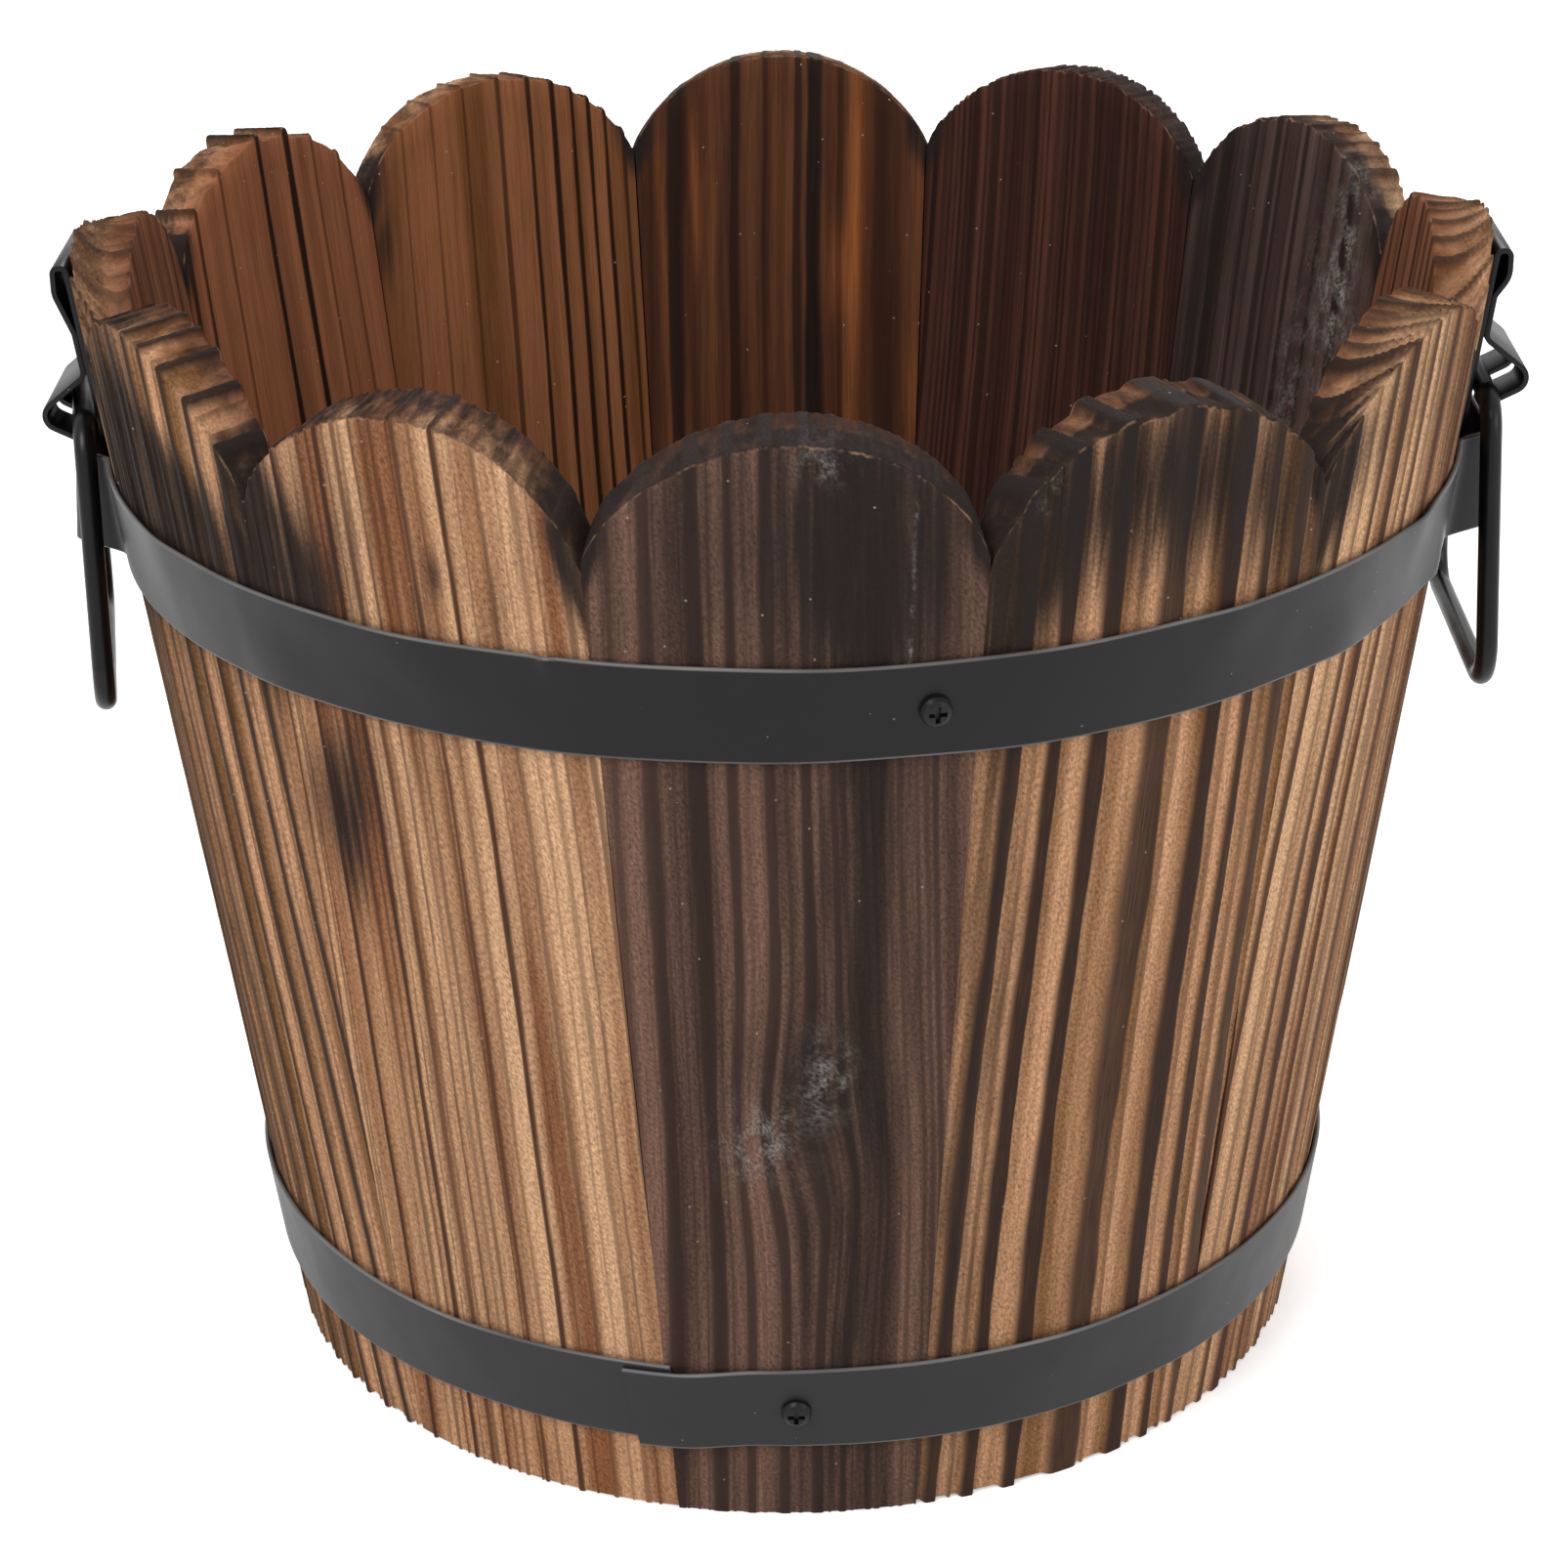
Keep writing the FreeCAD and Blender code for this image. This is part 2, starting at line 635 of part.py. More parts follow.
def make_bands():
    lower = lapped_ring("lower_band", "sizes.lower_band_lift", "sizes.lower_lap_angle")
    drill_band(lower, "sizes.lower_screw_angle", LOWER_SCREW_HEIGHT)
    upper = lapped_ring("upper_band", UPPER_BAND_LIFT, "sizes.upper_lap_angle")
    bulge_over_straps(upper, UPPER_BAND_LIFT)
    drill_band(upper, "sizes.upper_screw_angle", UPPER_SCREW_HEIGHT)
    return [lower, upper]


# Handles. A strap is drawn with x out from the face of its stave and z up along it, from
# the middle of its screw.

INNER_LAYER = "(sizes.layer_gap + sizes.strap_thickness / 2)"
OUTER_LAYER = "(sizes.layer_gap * 2 + sizes.strap_thickness * 3 / 2)"
LOOP_SLOPE = ("atan((sizes.loop_return_drop - sizes.loop_drop)"
              " / (sizes.loop_reach - sizes.loop_return_reach))")
WIRE = "(sizes.wire_diameter / 2)"
TWISTS = {"right": "0", "left": "sizes.left_bail_twist"}


def side_turn(side):
    """The turn about the pot's axis that brings a piece from the right to its side."""
    return f"placement(vector(0; 0; 0); rotation(vector(0; 0; 1); {SIDES[side]}))"


def stand_on_stave(body, side):
    """Stand a piece of a handle on the face of its stave."""
    height = STRAP_HEIGHTS[side]
    seat = f"placement(vector({outer_radius(height)}; 0; {height}); rotation(vector(0; 1; 0); {LEAN}))"
    body.setExpression("Placement", f"{side_turn(side)} * {seat}")


def tail_end(side):
    """Place of the end of a strap's tail along the stave, behind the band."""
    drop = f"({STRAP_HEIGHTS[side]} - {UPPER_BAND_LIFT} - sizes.strap_tail_lift)"
    return f"(-{drop} / cos({LEAN}))"


def strap_path(body, side):
    """The strip from its tail up the stave, folded at the top and down into the loop."""
    fold = f"({INNER_LAYER} + sizes.strap_fold_gap)"
    bow = f"(sizes.neck_rise + sizes.{side}_bow_rise)"
    top = f"({bow} + sizes.strap_fold_rise)"
    fold_radius = f"(sizes.strap_fold_gap * {FOLD_SHARE})"
    bend = "sizes.strap_bend_radius"
    loop_end = "(-sizes.loop_return_drop - sizes.loop_end_length)"
    corners = [
        (INNER_LAYER, tail_end(side)),
        (INNER_LAYER, top),
        (fold, top),
        ("sizes.strap_bow_reach", bow),
        (OUTER_LAYER, "sizes.neck_rise"),
        (OUTER_LAYER, "-sizes.neck_drop"),
        ("sizes.loop_reach", "-sizes.loop_drop"),
        ("sizes.loop_return_reach", "-sizes.loop_return_drop"),
        ("sizes.loop_return_reach", loop_end),
    ]
    radii = [fold_radius, fold_radius, "sizes.strap_bow_radius", bend, bend, "sizes.loop_tip_radius", bend]
    sketch = new_sketch(body, "path", "XZ_Plane")
    add_rounded_path(sketch, corners, radii)
    return sketch


def handle_strap(side):
    body = new_body(f"{side}_handle_strap")
    path = strap_path(body, side)
    section = new_sketch(body, "section", "XY_Plane")
    shift_sketch(section, "z", tail_end(side))
    near = f"({INNER_LAYER} - sizes.strap_thickness / 2)"
    far = f"({INNER_LAYER} + sizes.strap_thickness / 2)"
    edge = "(sizes.strap_width / 2)"
    add_polygon(section, [(near, f"-{edge}"), (far, f"-{edge}"), (far, edge), (near, edge)])
    add_feature(body, "AdditivePipe", section, "strip", Spine=(path, []), Mode="Binormal",
                Binormal=Vector(0, 1, 0))
    hole = new_sketch(body, "screw_hole", "YZ_Plane")
    add_circle(hole, 0, 0, SHANK_HOLE)
    cut_through(body, hole, "screw_hole_cut")
    slot = new_sketch(body, "slot", "YZ_Plane")
    shift_sketch(slot, "z", f"({OUTER_LAYER} + sizes.strap_thickness)")
    half = "(sizes.loop_slot_width / 2)"
    high, low = "-sizes.loop_drop", "(-sizes.loop_return_drop - 2 * sizes.loop_end_length)"
    add_polygon(slot, [(f"-{half}", low), (half, low), (half, high), (f"-{half}", high)])
    add_feature(body, "Pocket", slot, "slot_cut", Type="ThroughAll", Reversed=True)
    stand_on_stave(body, side)
    return body


def strap_screw(side):
    body = new_body(f"{side}_strap_screw")
    sketch = new_sketch(body, "outline", "XZ_Plane")
    steps = screw_steps(STRAP_SEAT)
    add_polygon(sketch, steps + [(steps[-1][0], 0)])
    revolve(body, "Revolution", sketch, "turned", "H_Axis")
    cross = new_sketch(body, "cross", "YZ_Plane")
    shift_sketch(cross, "z", f"({STRAP_SEAT} + sizes.screw_head_height)")
    cut_recess(body, cross, 0, 0)
    stand_on_stave(body, side)
    return body


def bar_place(side):
    """Level and upright place of the middle of a bail's top bar, which lies in its loop.

    A twisted bar leans on the strap at one edge and rests out in the loop at the other.
    """
    near = f"(sizes.layer_gap + sizes.strap_thickness + {WIRE} + sizes.bail_play)"
    spread = f"(sizes.strap_width * tan({TWISTS[side]}))"
    far = f"({near} + {spread})"
    drop = (f"(sizes.loop_return_drop + (sizes.loop_return_reach - {far}) * tan({LOOP_SLOPE})"
            f" - ({WIRE} + sizes.strap_thickness / 2 + sizes.bail_play) / cos({LOOP_SLOPE}))")
    level, upright = slope_point(STRAP_HEIGHTS[side], far, f"-{drop}")
    return f"({level} - {spread} / 2)", upright


def bail(side):
    """A ring of wire: a top bar in the loop, two splayed legs and a bottom bar."""
    body = new_body(f"{side}_bail")
    path = new_sketch(body, "path", "YZ_Plane")
    drop = "-sizes.bail_drop"
    corners = [(0, 0), ("sizes.bail_top_reach", 0), ("sizes.bail_foot_reach", drop), (0, drop)]
    add_rounded_path(path, corners, ["sizes.bail_bend_radius"] * 2)
    section = new_sketch(body, "section", "XZ_Plane")
    add_circle(section, 0, 0, WIRE)
    half = add_feature(body, "AdditivePipe", section, "half", Spine=(path, []))
    ring = body.newObject("PartDesign::Mirrored", f"{side}_bail_ring")
    ring.Originals = [half]
    ring.MirrorPlane = (origin_feature(body, "XZ_Plane"), [""])
    body.Tip = ring
    level, upright = bar_place(side)
    seat = f"placement(vector({level}; 0; {upright}); rotation(vector(0; 0; 1); {TWISTS[side]}))"
    body.setExpression("Placement", f"{side_turn(side)} * {seat}")
    return body


def make_handles():
    """The strap, screw and bail of each side. The left ones hang lower, with a twisted bail."""
    return [make(side) for side in SIDES for make in (handle_strap, strap_screw, bail)]


def check_model(pieces):
    """Stop when a feature failed, a cut removed nothing or a piece has no sound solid."""
    for item in doc.Objects:
        if "Invalid" in item.State or "Error" in item.State:
            raise RuntimeError(f"{item.Label} failed: {item.State}")
        if item.TypeId in ("PartDesign::Pocket", "PartDesign::Groove", "PartDesign::SubtractiveLoft"):
            if not item.Shape.Volume < item.BaseFeature.Shape.Volume:
                raise RuntimeError(f"{item.Label} cuts nothing")
    for piece in pieces:
        if piece.Shape.isNull() or not piece.Shape.isValid() or not piece.Shape.Solids:
            raise RuntimeError(f"{piece.Label} has no sound solid")


pieces = make_staves() + make_base() + [base_nails()] + make_bands()
pieces += [
    band_screws("upper_band_screws", "sizes.upper_screw_angle", UPPER_SCREW_HEIGHT),
    band_screws("lower_band_screws", "sizes.lower_screw_angle", LOWER_SCREW_HEIGHT),
]
pieces += make_handles()
doc.recompute()
check_model(pieces)
os.makedirs("parts", exist_ok=True)
for piece in pieces:
    piece.Shape.exportStep(f"parts/{piece.Label}.step")
    print(piece.Label, len(piece.Shape.Solids), round(piece.Shape.Volume, 1))
for side in SIDES:
    print(side, "bail pivot", [round(number(text), 4) for text in bar_place(side)])
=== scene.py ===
import math
import random

import bpy
import numpy as np
from mathutils import Matrix, Vector


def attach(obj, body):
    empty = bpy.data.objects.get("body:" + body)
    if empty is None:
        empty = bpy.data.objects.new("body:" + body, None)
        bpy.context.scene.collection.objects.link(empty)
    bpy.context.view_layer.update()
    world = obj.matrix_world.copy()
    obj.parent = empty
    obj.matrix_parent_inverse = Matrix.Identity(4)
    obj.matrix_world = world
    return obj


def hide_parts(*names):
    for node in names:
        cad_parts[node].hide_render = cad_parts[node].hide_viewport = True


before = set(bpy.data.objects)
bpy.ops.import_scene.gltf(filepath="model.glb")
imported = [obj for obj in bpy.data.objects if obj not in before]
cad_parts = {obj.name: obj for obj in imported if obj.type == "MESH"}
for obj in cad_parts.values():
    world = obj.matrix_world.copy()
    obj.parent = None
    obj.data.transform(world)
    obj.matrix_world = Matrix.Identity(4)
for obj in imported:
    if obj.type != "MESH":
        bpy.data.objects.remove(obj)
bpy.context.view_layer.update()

# Sizes of the pot, in metres, as the solids have them
MM = 0.001
STAVES = 12
HALF_STAVE = math.pi / STAVES
FRONT = -math.pi / 2
BASE_RADIUS = 0.100
LEAN = math.radians(7.9)
CROWN_HEIGHT = 0.215
BOARD = 0.0124
SCALLOP_RADIUS = 0.0353
FRONT_FOOT_INSET = 0.0043
SHOULDER = BASE_RADIUS * math.sin(LEAN) + CROWN_HEIGHT / math.cos(LEAN) - SCALLOP_RADIUS
# How far the seams of the narrow front stave and its neighbours move sideways at the foot
FOOT_SHIFTS = {
    1: (FRONT_FOOT_INSET, -FRONT_FOOT_INSET),
    2: (-FRONT_FOOT_INSET, 0.0),
    12: (0.0, FRONT_FOOT_INSET),
}
# Each seam is a fine dark line, because both edges of a stave are planed back by this much.
SEAM_EASE = 0.00012

# Rows of the mesh of a stave: up its outside, over its crown, down its inside, under its foot
COLUMNS = 240
FACE_ROWS = 96
CROWN_ROWS = 12
BACK_ROWS = 48
FOOT_ROWS = 5
# The crown is cut square to a leaning face, so its height is found in this many rounds.
CROWN_ROUNDS = 6
# The worn arris of a crown: its rows as shares of the height and of the thickness, and its wear
ARRIS_UP = 0.0025
ARRIS_IN = 0.04
ARRIS_WEAR = 0.00018
# Torn end grain on the crowns
RAGGED = 0.00014
# Saw kerf at the foot of each notch between two crowns: its depth and half width
NOTCH_DROP = 0.0008
NOTCH_HALF = 0.0013
# Soot round each notch: its amount, its half width, and from where and how soon it fills, up the stave
NOTCH_SOOT = 1.1
NOTCH_BURN = 0.0042
NOTCH_SOOT_START = 0.96
NOTCH_SOOT_RISE = 0.03
# The inside was brushed less than the outside, and the foot nearly as much.
INSIDE_BRUSH = 0.35
FOOT_BRUSH = 0.9
# How much of the thickness the relief of a face takes to fade into the crown
RELIEF_FADE = 0.25
# Under 1, the ribs that the brush left have full shoulders.
RIB_POWER = 0.8
# How the brushed hollows vary: wave lengths in metres, their shares, their lean across a board,
# and how much more they vary on the crowns
FUZZ_LENGTHS = (0.021, 0.0083)
FUZZ_SHARES = (0.07, 0.05)
FUZZ_SLANT = 0.3
CROWN_FUZZ = 3
# How the growth lines of a run differ, as shares of the run's width, strength and pitch
LINE_WIDTHS = (0.5, 1.5)
LINE_STRENGTHS = (0.45, 1.0)
LINE_PITCHES = (0.6, 1.4)
# The two sides of a growth line: how far each reaches, in half widths, and how steeply it ends
SOFT_SIDE_REACH = 1.15
SOFT_SIDE_POWER = 6
SHARP_SIDE_REACH = 1.03
SHARP_SIDE_POWER = 12
# The boards come from places this far apart along a log, so that no two have the same fibres.
LOG_STEP = 0.37
# The seed of a stave's random numbers is this plus its number.
FIRST_SEED = 100
# How a growth line swells and thins along a board: wave lengths in metres and their shares
SWELL_LENGTHS = (0.12, 0.041, 0.019)
SWELL_SHARES = (0.12, 0.07, 0.04)
# How the grain wanders along a board: wave lengths in metres and millimetres sideways
WANDER_LENGTHS = (0.31, 0.13, 0.047)
WANDER_SIZES = (0.8, 0.25, 0.06)

# Sizes of the steel bands, as the solids have them, measured level through the leaning strip
BAND_WIDTH = 0.0174
BAND_THICKNESS = 0.0009 / math.cos(LEAN)
BAND_FIT = 0.00005 / math.cos(LEAN)
LOWER_BAND_LIFT = 0.0162
UPPER_BAND_LIFT = 0.1589
LAP_SPAN = math.radians(4.7)
# The outer end of a lap is cut a little slanted, sits low and settles on the staves over an angle.
LAP_SLANT = 0.022
LAP_DROP = 0.0011
LAP_SETTLE = math.radians(9)
# The bulge over the end of each strap: half its width, its walls, its soft flanks and its depth.
# At the lower edge of the band the flanks spread and the bulge stands out further.
BULGE_HALF = 0.0126
BULGE_WALL = 0.0011
BULGE_FLANK = 0.0060
BULGE_SPREAD = 0.0050
BULGE_ROOM = 0.0049 / math.cos(LEAN)
BULGE_FLARE = 0.0035
# Mesh of a band, and how its edges wave: wave lengths and sizes along the strip, in metres
BAND_COLUMNS = 900
BAND_ROWS = 8
RIM_WAVE_LENGTHS = (0.21, 0.083, 0.031)
RIM_WAVE_SIZES = (0.00022, 0.00014, 0.00006)
# Edges of the cut steel strip are rounded by this much, so that they catch the light.
STRIP_EDGE = 0.00028
EDGE_STEPS = 2

# Points nearer than this are one point. In degrees: faces as flat to each other as FLAT_ANGLE are
# one face, edges over SHARP_ANGLE are rounded, and edges under the last three are shaded smooth.
WELD_DISTANCE = 1e-6
FLAT_ANGLE = 0.5
SHARP_ANGLE = 50
STAVE_SMOOTH = 40
BAND_SMOOTH = 50
STRAP_SMOOTH = 35

# The stage: a paper floor, its side, look and glow, and how strongly the white world lights the pot
FLOOR_SIDE = 12
PAPER_WHITE = (0.9, 0.9, 0.9, 1)
PAPER_ROUGHNESS = 0.9
FLOOR_GLOW = 0.46
WORLD_LIGHT = 0.50
# Lamps: name, place in metres, width in metres and watts, all aimed at one place in the pot
LAMPS = [
    ("key", (-0.9, -1.3, 1.9), 1.2, 30.0),
    ("fill", (1.5, -1.0, 1.0), 1.2, 9.0),
    ("back", (0.3, 1.4, 1.6), 1.0, 12.0),
]
LAMP_AIM = (0, 0, 0.11)

# The camera of the photo. In pixels: the photo's side, the focal length, and how far the lens
# axis lies from the middle. Then its place in metres, and its pitch and roll in degrees
PHOTO_SIDE = 1605
FOCAL_LENGTH = 4073.5
AXIS_SHIFT = 4.5
CAMERA_PLACE = (0, -0.70898, 0.41354)
CAMERA_PITCH = 23.849
CAMERA_ROLL = -0.7307
SENSOR_WIDTH = 36.0


def linear(hex_colour):
    """The linear colour of an sRGB hex value."""
    shares = [int(hex_colour[at:at + 2], 16) / 255 for at in (1, 3, 5)]
    return tuple(s / 12.92 if s <= 0.04045 else ((s + 0.055) / 1.055) ** 2.4 for s in shares) + (1.0,)


def add_node(tree, kind, settings=None, links=None):
    """Add one node, set its properties, inputs and ramp stops, and link sockets to its inputs."""
    made = tree.nodes.new(kind)
    for name, setting in (settings or {}).items():
        if name == "stops":
            for index, (place, colour) in enumerate(setting):
                elements = made.color_ramp.elements
                # A new ramp already has two stops.
                stop = elements[index] if index < 2 else elements.new(place)
                stop.position = place
                stop.color = colour
        elif isinstance(name, str) and hasattr(made, name):
            setattr(made, name, setting)
        else:
            made.inputs[name].default_value = setting
    for name, socket in (links or {}).items():
        tree.links.new(socket, made.inputs[name])
    return made


def new_material(name):
    """An empty material with a principled surface. Gives back its tree and its shader."""
    material = bpy.data.materials.new(name)
    material.use_nodes = True
    tree = material.node_tree
    tree.nodes.clear()
    shader = tree.nodes.new("ShaderNodeBsdfPrincipled")
    add_node(tree, "ShaderNodeOutputMaterial", links={"Surface": shader.outputs[0]})
    return material, tree, shader


# Looks of the staves, by number. Wood and inside are the colours of the soft early wood, of
# its darker strips and of the hard late wood, on the outside and on the inside. In
# millimetres: lines are growth lines set one by one, as (place across, width, strength); runs
# are stretches of lines, as (start, end, pitch, width, strength); swirls bend the grain, as
# (across, up from 0 to 1, half width, half height from 0 to 1, shift); slant, ring_slant and
# ring_bow lean the grain up the board and through its thickness; relief and steps are how deep
# the brush went between the lines, on the face and at the left and right of the crown;
# crown_shift is how far the top of the crown lies to one side. Marks are (outside or inside,
# what it adds, across from -1 to 1, up from 0 to 1, half width across, half height, amount): char
# is soot, ash is grey ash, and ember is wood that the flame only browned. The other kinds of char
# are the soot all over the outside, the crown and the inside.
PLAIN = {"lines": [], "runs": [], "swirls": [], "marks": [], "slant": 0.0, "ring_slant": 0.0,
         "ring_bow": 0.0, "relief": 0.5, "steps": (0.5, 0.5), "crown_shift": 0.0, "char": 0.0,
         "crown_char": 0.3, "inside_char": 0.2}
CHARRED = PLAIN | {"wood": ("#785B4D", "#4F3C34", "#2A201E"), "inside": ("#5C3823", "#43271A", "#1D1311")}
GOLDEN = PLAIN | {"wood": ("#DAAE86", "#8F6245", "#43291F"), "inside": ("#8E5B3C", "#704629", "#24160F")}
STRIPED = PLAIN | {"wood": ("#CB9B76", "#86603F", "#35261F"), "inside": ("#80523A", "#67402B", "#22150F")}
STAVE_LOOKS = {
    1: CHARRED | {
        "lines": [(-27.5, 1.2, 0.6), (-21.7, 2.6, 0.75), (-14.0, 2.8, 0.8), (-8.4, 1.7, 0.8),
                  (-2.4, 2.0, 0.8), (3.5, 1.7, 0.8), (8.0, 1.2, 0.7), (24.5, 1.0, 0.7)],
        "runs": [(-31, 31, 2.2, 0.6, 0.55)],
        "swirls": [(-2.0, 0.40, 9.0, 0.09, 3.2), (10.0, 0.33, 8.0, 0.10, -2.2)],
        "relief": 0.22, "steps": (0.35, 0.3), "crown_shift": 1.5, "char": 0.04, "crown_char": 0.45,
        "marks": [
            ("out", "char", 0.40, 0.5, 0.40, 2.0, 0.68), ("out", "char", -0.1, 0.44, 0.50, 0.07, 0.40),
            ("out", "char", 0.97, 0.5, 0.14, 2.0, -0.2), ("out", "char", 0.1, 0.93, 1.2, 0.12, 0.45),
            ("out", "ash", 0.22, 0.450, 0.13, 0.035, 0.8), ("out", "ash", -0.20, 0.390, 0.22, 0.035, 0.8),
            ("out", "ash", 0.16, 0.985, 0.12, 0.014, 0.45), ("out", "ash", 0.62, 0.89, 0.009, 0.07, 0.8),
        ]},
    2: STRIPED | {
        "lines": [(-27.0, 2.6, 0.92), (-23.4, 0.8, 0.45), (-20.1, 2.8, 1.0), (-12.0, 3.3, 1.0),
                  (-0.6, 5.4, 0.92), (3.8, 0.9, 0.45), (11.1, 4.0, 1.0), (14.8, 0.9, 0.45),
                  (18.8, 2.2, 0.95), (22.6, 1.0, 0.5), (26.2, 3.0, 0.9), (31.0, 2.0, 0.8)],
        "ring_slant": 2.0, "relief": 0.7, "steps": (1.7, 0.5), "crown_shift": -3.5, "crown_char": 0.35,
        "marks": [
            ("out", "char", -1.0, 0.97, 0.34, 0.06, 0.9), ("out", "char", 0.1, 0.95, 1.4, 0.10, 0.70),
            ("out", "char", -0.88, 0.5, 0.22, 2.0, 0.55), ("out", "char", -0.3, 0.93, 0.9, 0.10, 0.25),
            ("out", "ash", -0.72, 0.985, 0.05, 0.010, 0.6),
        ]},
    3: GOLDEN | {
        "lines": [(-27.0, 1.6, 0.9), (-22.0, 0.9, 0.6), (-17.5, 1.5, 0.9), (-12.0, 2.6, 1.0),
                  (-7.5, 0.9, 0.7), (-4.0, 1.5, 0.9)],
        "runs": [(0.5, 34, 3.6, 1.4, 1.0)],
        "ring_slant": 9.0, "ring_bow": 3.0, "relief": 0.6, "steps": (1.2, 1.0), "crown_char": 0.25,
        "marks": [
            ("out", "char", 1.0, 0.6, 0.40, 0.5, 0.45), ("out", "char", -1.0, 0.95, 0.35, 0.06, 1.0),
            ("out", "char", -0.1, 0.95, 0.9, 0.07, 0.30),
        ]},
    4: STRIPED | {
        "runs": [(-34, 34, 5.4, 1.7, 1.0)], "ring_slant": 9.0, "ring_bow": 3.0,
        "relief": 0.6, "steps": (0.8, 0.8), "char": 0.12, "crown_char": 0.08, "inside_char": 0.1},
    5: GOLDEN | {
        "inside": ("#5E4A44", "#46342F", "#201715"),
        "lines": [(20.0, 3.5, 0.9), (12.0, 1.2, 0.7), (5.0, 2.2, 0.8), (-4.0, 1.4, 0.8), (-12.0, 1.0, 0.7),
                  (-20.0, 2.0, 0.8)],
        "runs": [(-33, 33, 3.1, 0.6, 0.6)],
        "relief": 0.5, "steps": (0.7, 0.7), "char": 0.06, "crown_char": 0.40, "inside_char": 0.30,
        "marks": [
            ("out", "char", 0.4, 0.2, 0.6, 0.2, 0.4), ("in", "char", 0.75, 0.75, 0.30, 0.6, 0.5),
            ("in", "ash", -0.64, 0.90, 0.17, 0.09, 1.0), ("in", "ash", -0.30, 0.74, 0.14, 0.12, 0.45),
        ]},
    6: CHARRED | {
        "inside": ("#5A372C", "#402520", "#1B1210"),
        "runs": [(-33, 33, 1.5, 0.55, 0.8), (-30, 30, 7.0, 1.5, 0.8)],
        "relief": 0.4, "steps": (0.55, 0.55), "char": 0.25, "crown_char": 0.30, "inside_char": 0.25,
        "marks": [("out", "char", -0.4, 0.7, 0.5, 0.4, 0.3)]},
    7: STRIPED | {
        "inside": ("#6E442B", "#4E2D1D", "#1A110E"),
        "lines": [(21.7, 3.2, 0.85), (9.3, 2.0, 0.8), (3.0, 1.0, 0.5), (-4.0, 1.6, 0.8), (-7.5, 3.4, 0.95),
                  (-13.0, 1.2, 0.6), (-22.0, 4.0, 0.55), (27.0, 1.0, 0.4)],
        "relief": 0.6, "steps": (0.12, 0.12), "char": 0.08, "crown_char": 0.30, "inside_char": 0.36,
        "marks": [
            ("out", "char", 0.5, 0.85, 0.5, 0.15, 0.5), ("in", "ember", -0.52, 0.88, 0.040, 0.15, 0.9),
            ("in", "ember", -0.42, 0.80, 0.085, 0.045, 0.9), ("in", "ember", 0.84, 0.7, 0.04, 0.5, 0.45),
            ("in", "ember", 0.60, 0.90, 0.03, 0.08, 0.6), ("in", "ember", -0.94, 0.72, 0.05, 0.05, 0.8),
            ("in", "ember", -0.48, 0.62, 0.03, 0.12, 0.4), ("in", "char", -0.52, 0.85, 0.14, 0.18, -0.3),
        ]},
    8: GOLDEN | {
        "lines": [(27.3, 0.5, 0.5), (20.5, 0.6, 0.5), (13.0, 0.6, 0.55), (5.0, 1.1, 0.75),
                  (-1.9, 1.0, 0.95), (-7.4, 1.15, 1.0), (-11.8, 1.0, 1.0), (-15.5, 0.9, 1.0),
                  (-19.2, 0.95, 1.0), (-23.3, 0.8, 0.8), (-27.3, 0.6, 0.6)],
        "slant": 6.0, "relief": 0.5, "steps": (0.9, 0.5),
        "char": 0.05, "crown_char": 0.40, "inside_char": 0.0,
        "marks": [("out", "char", -0.6, 0.3, 0.4, 0.3, 0.4), ("in", "char", 0.95, 0.93, 0.12, 0.05, 0.7)]},
    9: STRIPED | {
        "inside": ("#9A6243", "#7E5036", "#21140F"),
        "lines": [(2.0, 1.5, 1.0), (-7.0, 1.8, 1.0), (28.0, 1.4, 0.9), (24.0, 1.1, 0.85), (15.0, 0.8, 0.6),
                  (-15.0, 0.8, 0.6), (-23.0, 0.8, 0.6)],
        "relief": 0.7, "steps": (1.5, 1.5), "char": 0.3, "crown_char": 0.25, "inside_char": 0.0},
    10: STRIPED | {
        "runs": [(-34, 34, 8.5, 1.8, 1.0), (-34, 34, 3.3, 0.6, 0.5)], "ring_slant": -11.0, "ring_bow": -5.0,
        "relief": 0.7, "steps": (1.5, 1.5), "char": 0.2, "crown_char": 0.02, "inside_char": 0.1,
        "marks": [("out", "char", 0.0, 0.95, 1.2, 0.12, 0.4)]},
    11: STRIPED | {
        "lines": [(2.0, 1.3, 1.0), (8.0, 1.3, 1.0), (14.5, 1.5, 1.0), (21.5, 1.6, 1.0), (28.5, 1.5, 1.0)],
        "runs": [(-34, -0.5, 2.6, 1.15, 0.95), (4.5, 33, 3.1, 0.6, 0.6)],
        "relief": 0.7, "steps": (1.1, 1.7), "char": 0.05, "crown_char": 0.20,
        "marks": [
            ("out", "char", -0.1, 0.88, 1.3, 0.13, 1.15), ("out", "char", 0.45, 0.98, 0.40, 0.05, -1.0),
            ("out", "char", -0.9, 0.55, 0.5, 0.4, 0.35), ("out", "char", 0.95, 0.93, 0.15, 0.06, 0.7),
        ]},
    12: GOLDEN | {
        "wood": ("#D0A57F", "#865A3E", "#43291F"),
        "runs": [(-34, 34, 5.4, 1.0, 1.0), (-32, 34, 3.6, 0.5, 0.85)],
        "ring_slant": 2.0, "relief": 0.35, "steps": (0.5, 0.85), "crown_shift": 4.0, "crown_char": 0.55,
        "marks": [
            ("out", "char", -1.0, 0.94, 0.36, 0.08, 1.4), ("out", "char", -0.68, 0.86, 0.32, 0.06, 0.9),
            ("out", "char", -0.62, 0.70, 0.30, 0.07, 0.6), ("out", "char", -0.62, 0.62, 0.16, 0.06, 0.45),
            ("out", "char", 0.98, 0.97, 0.16, 0.04, 1.0), ("out", "char", 0.22, 0.88, 0.06, 0.025, 0.6),
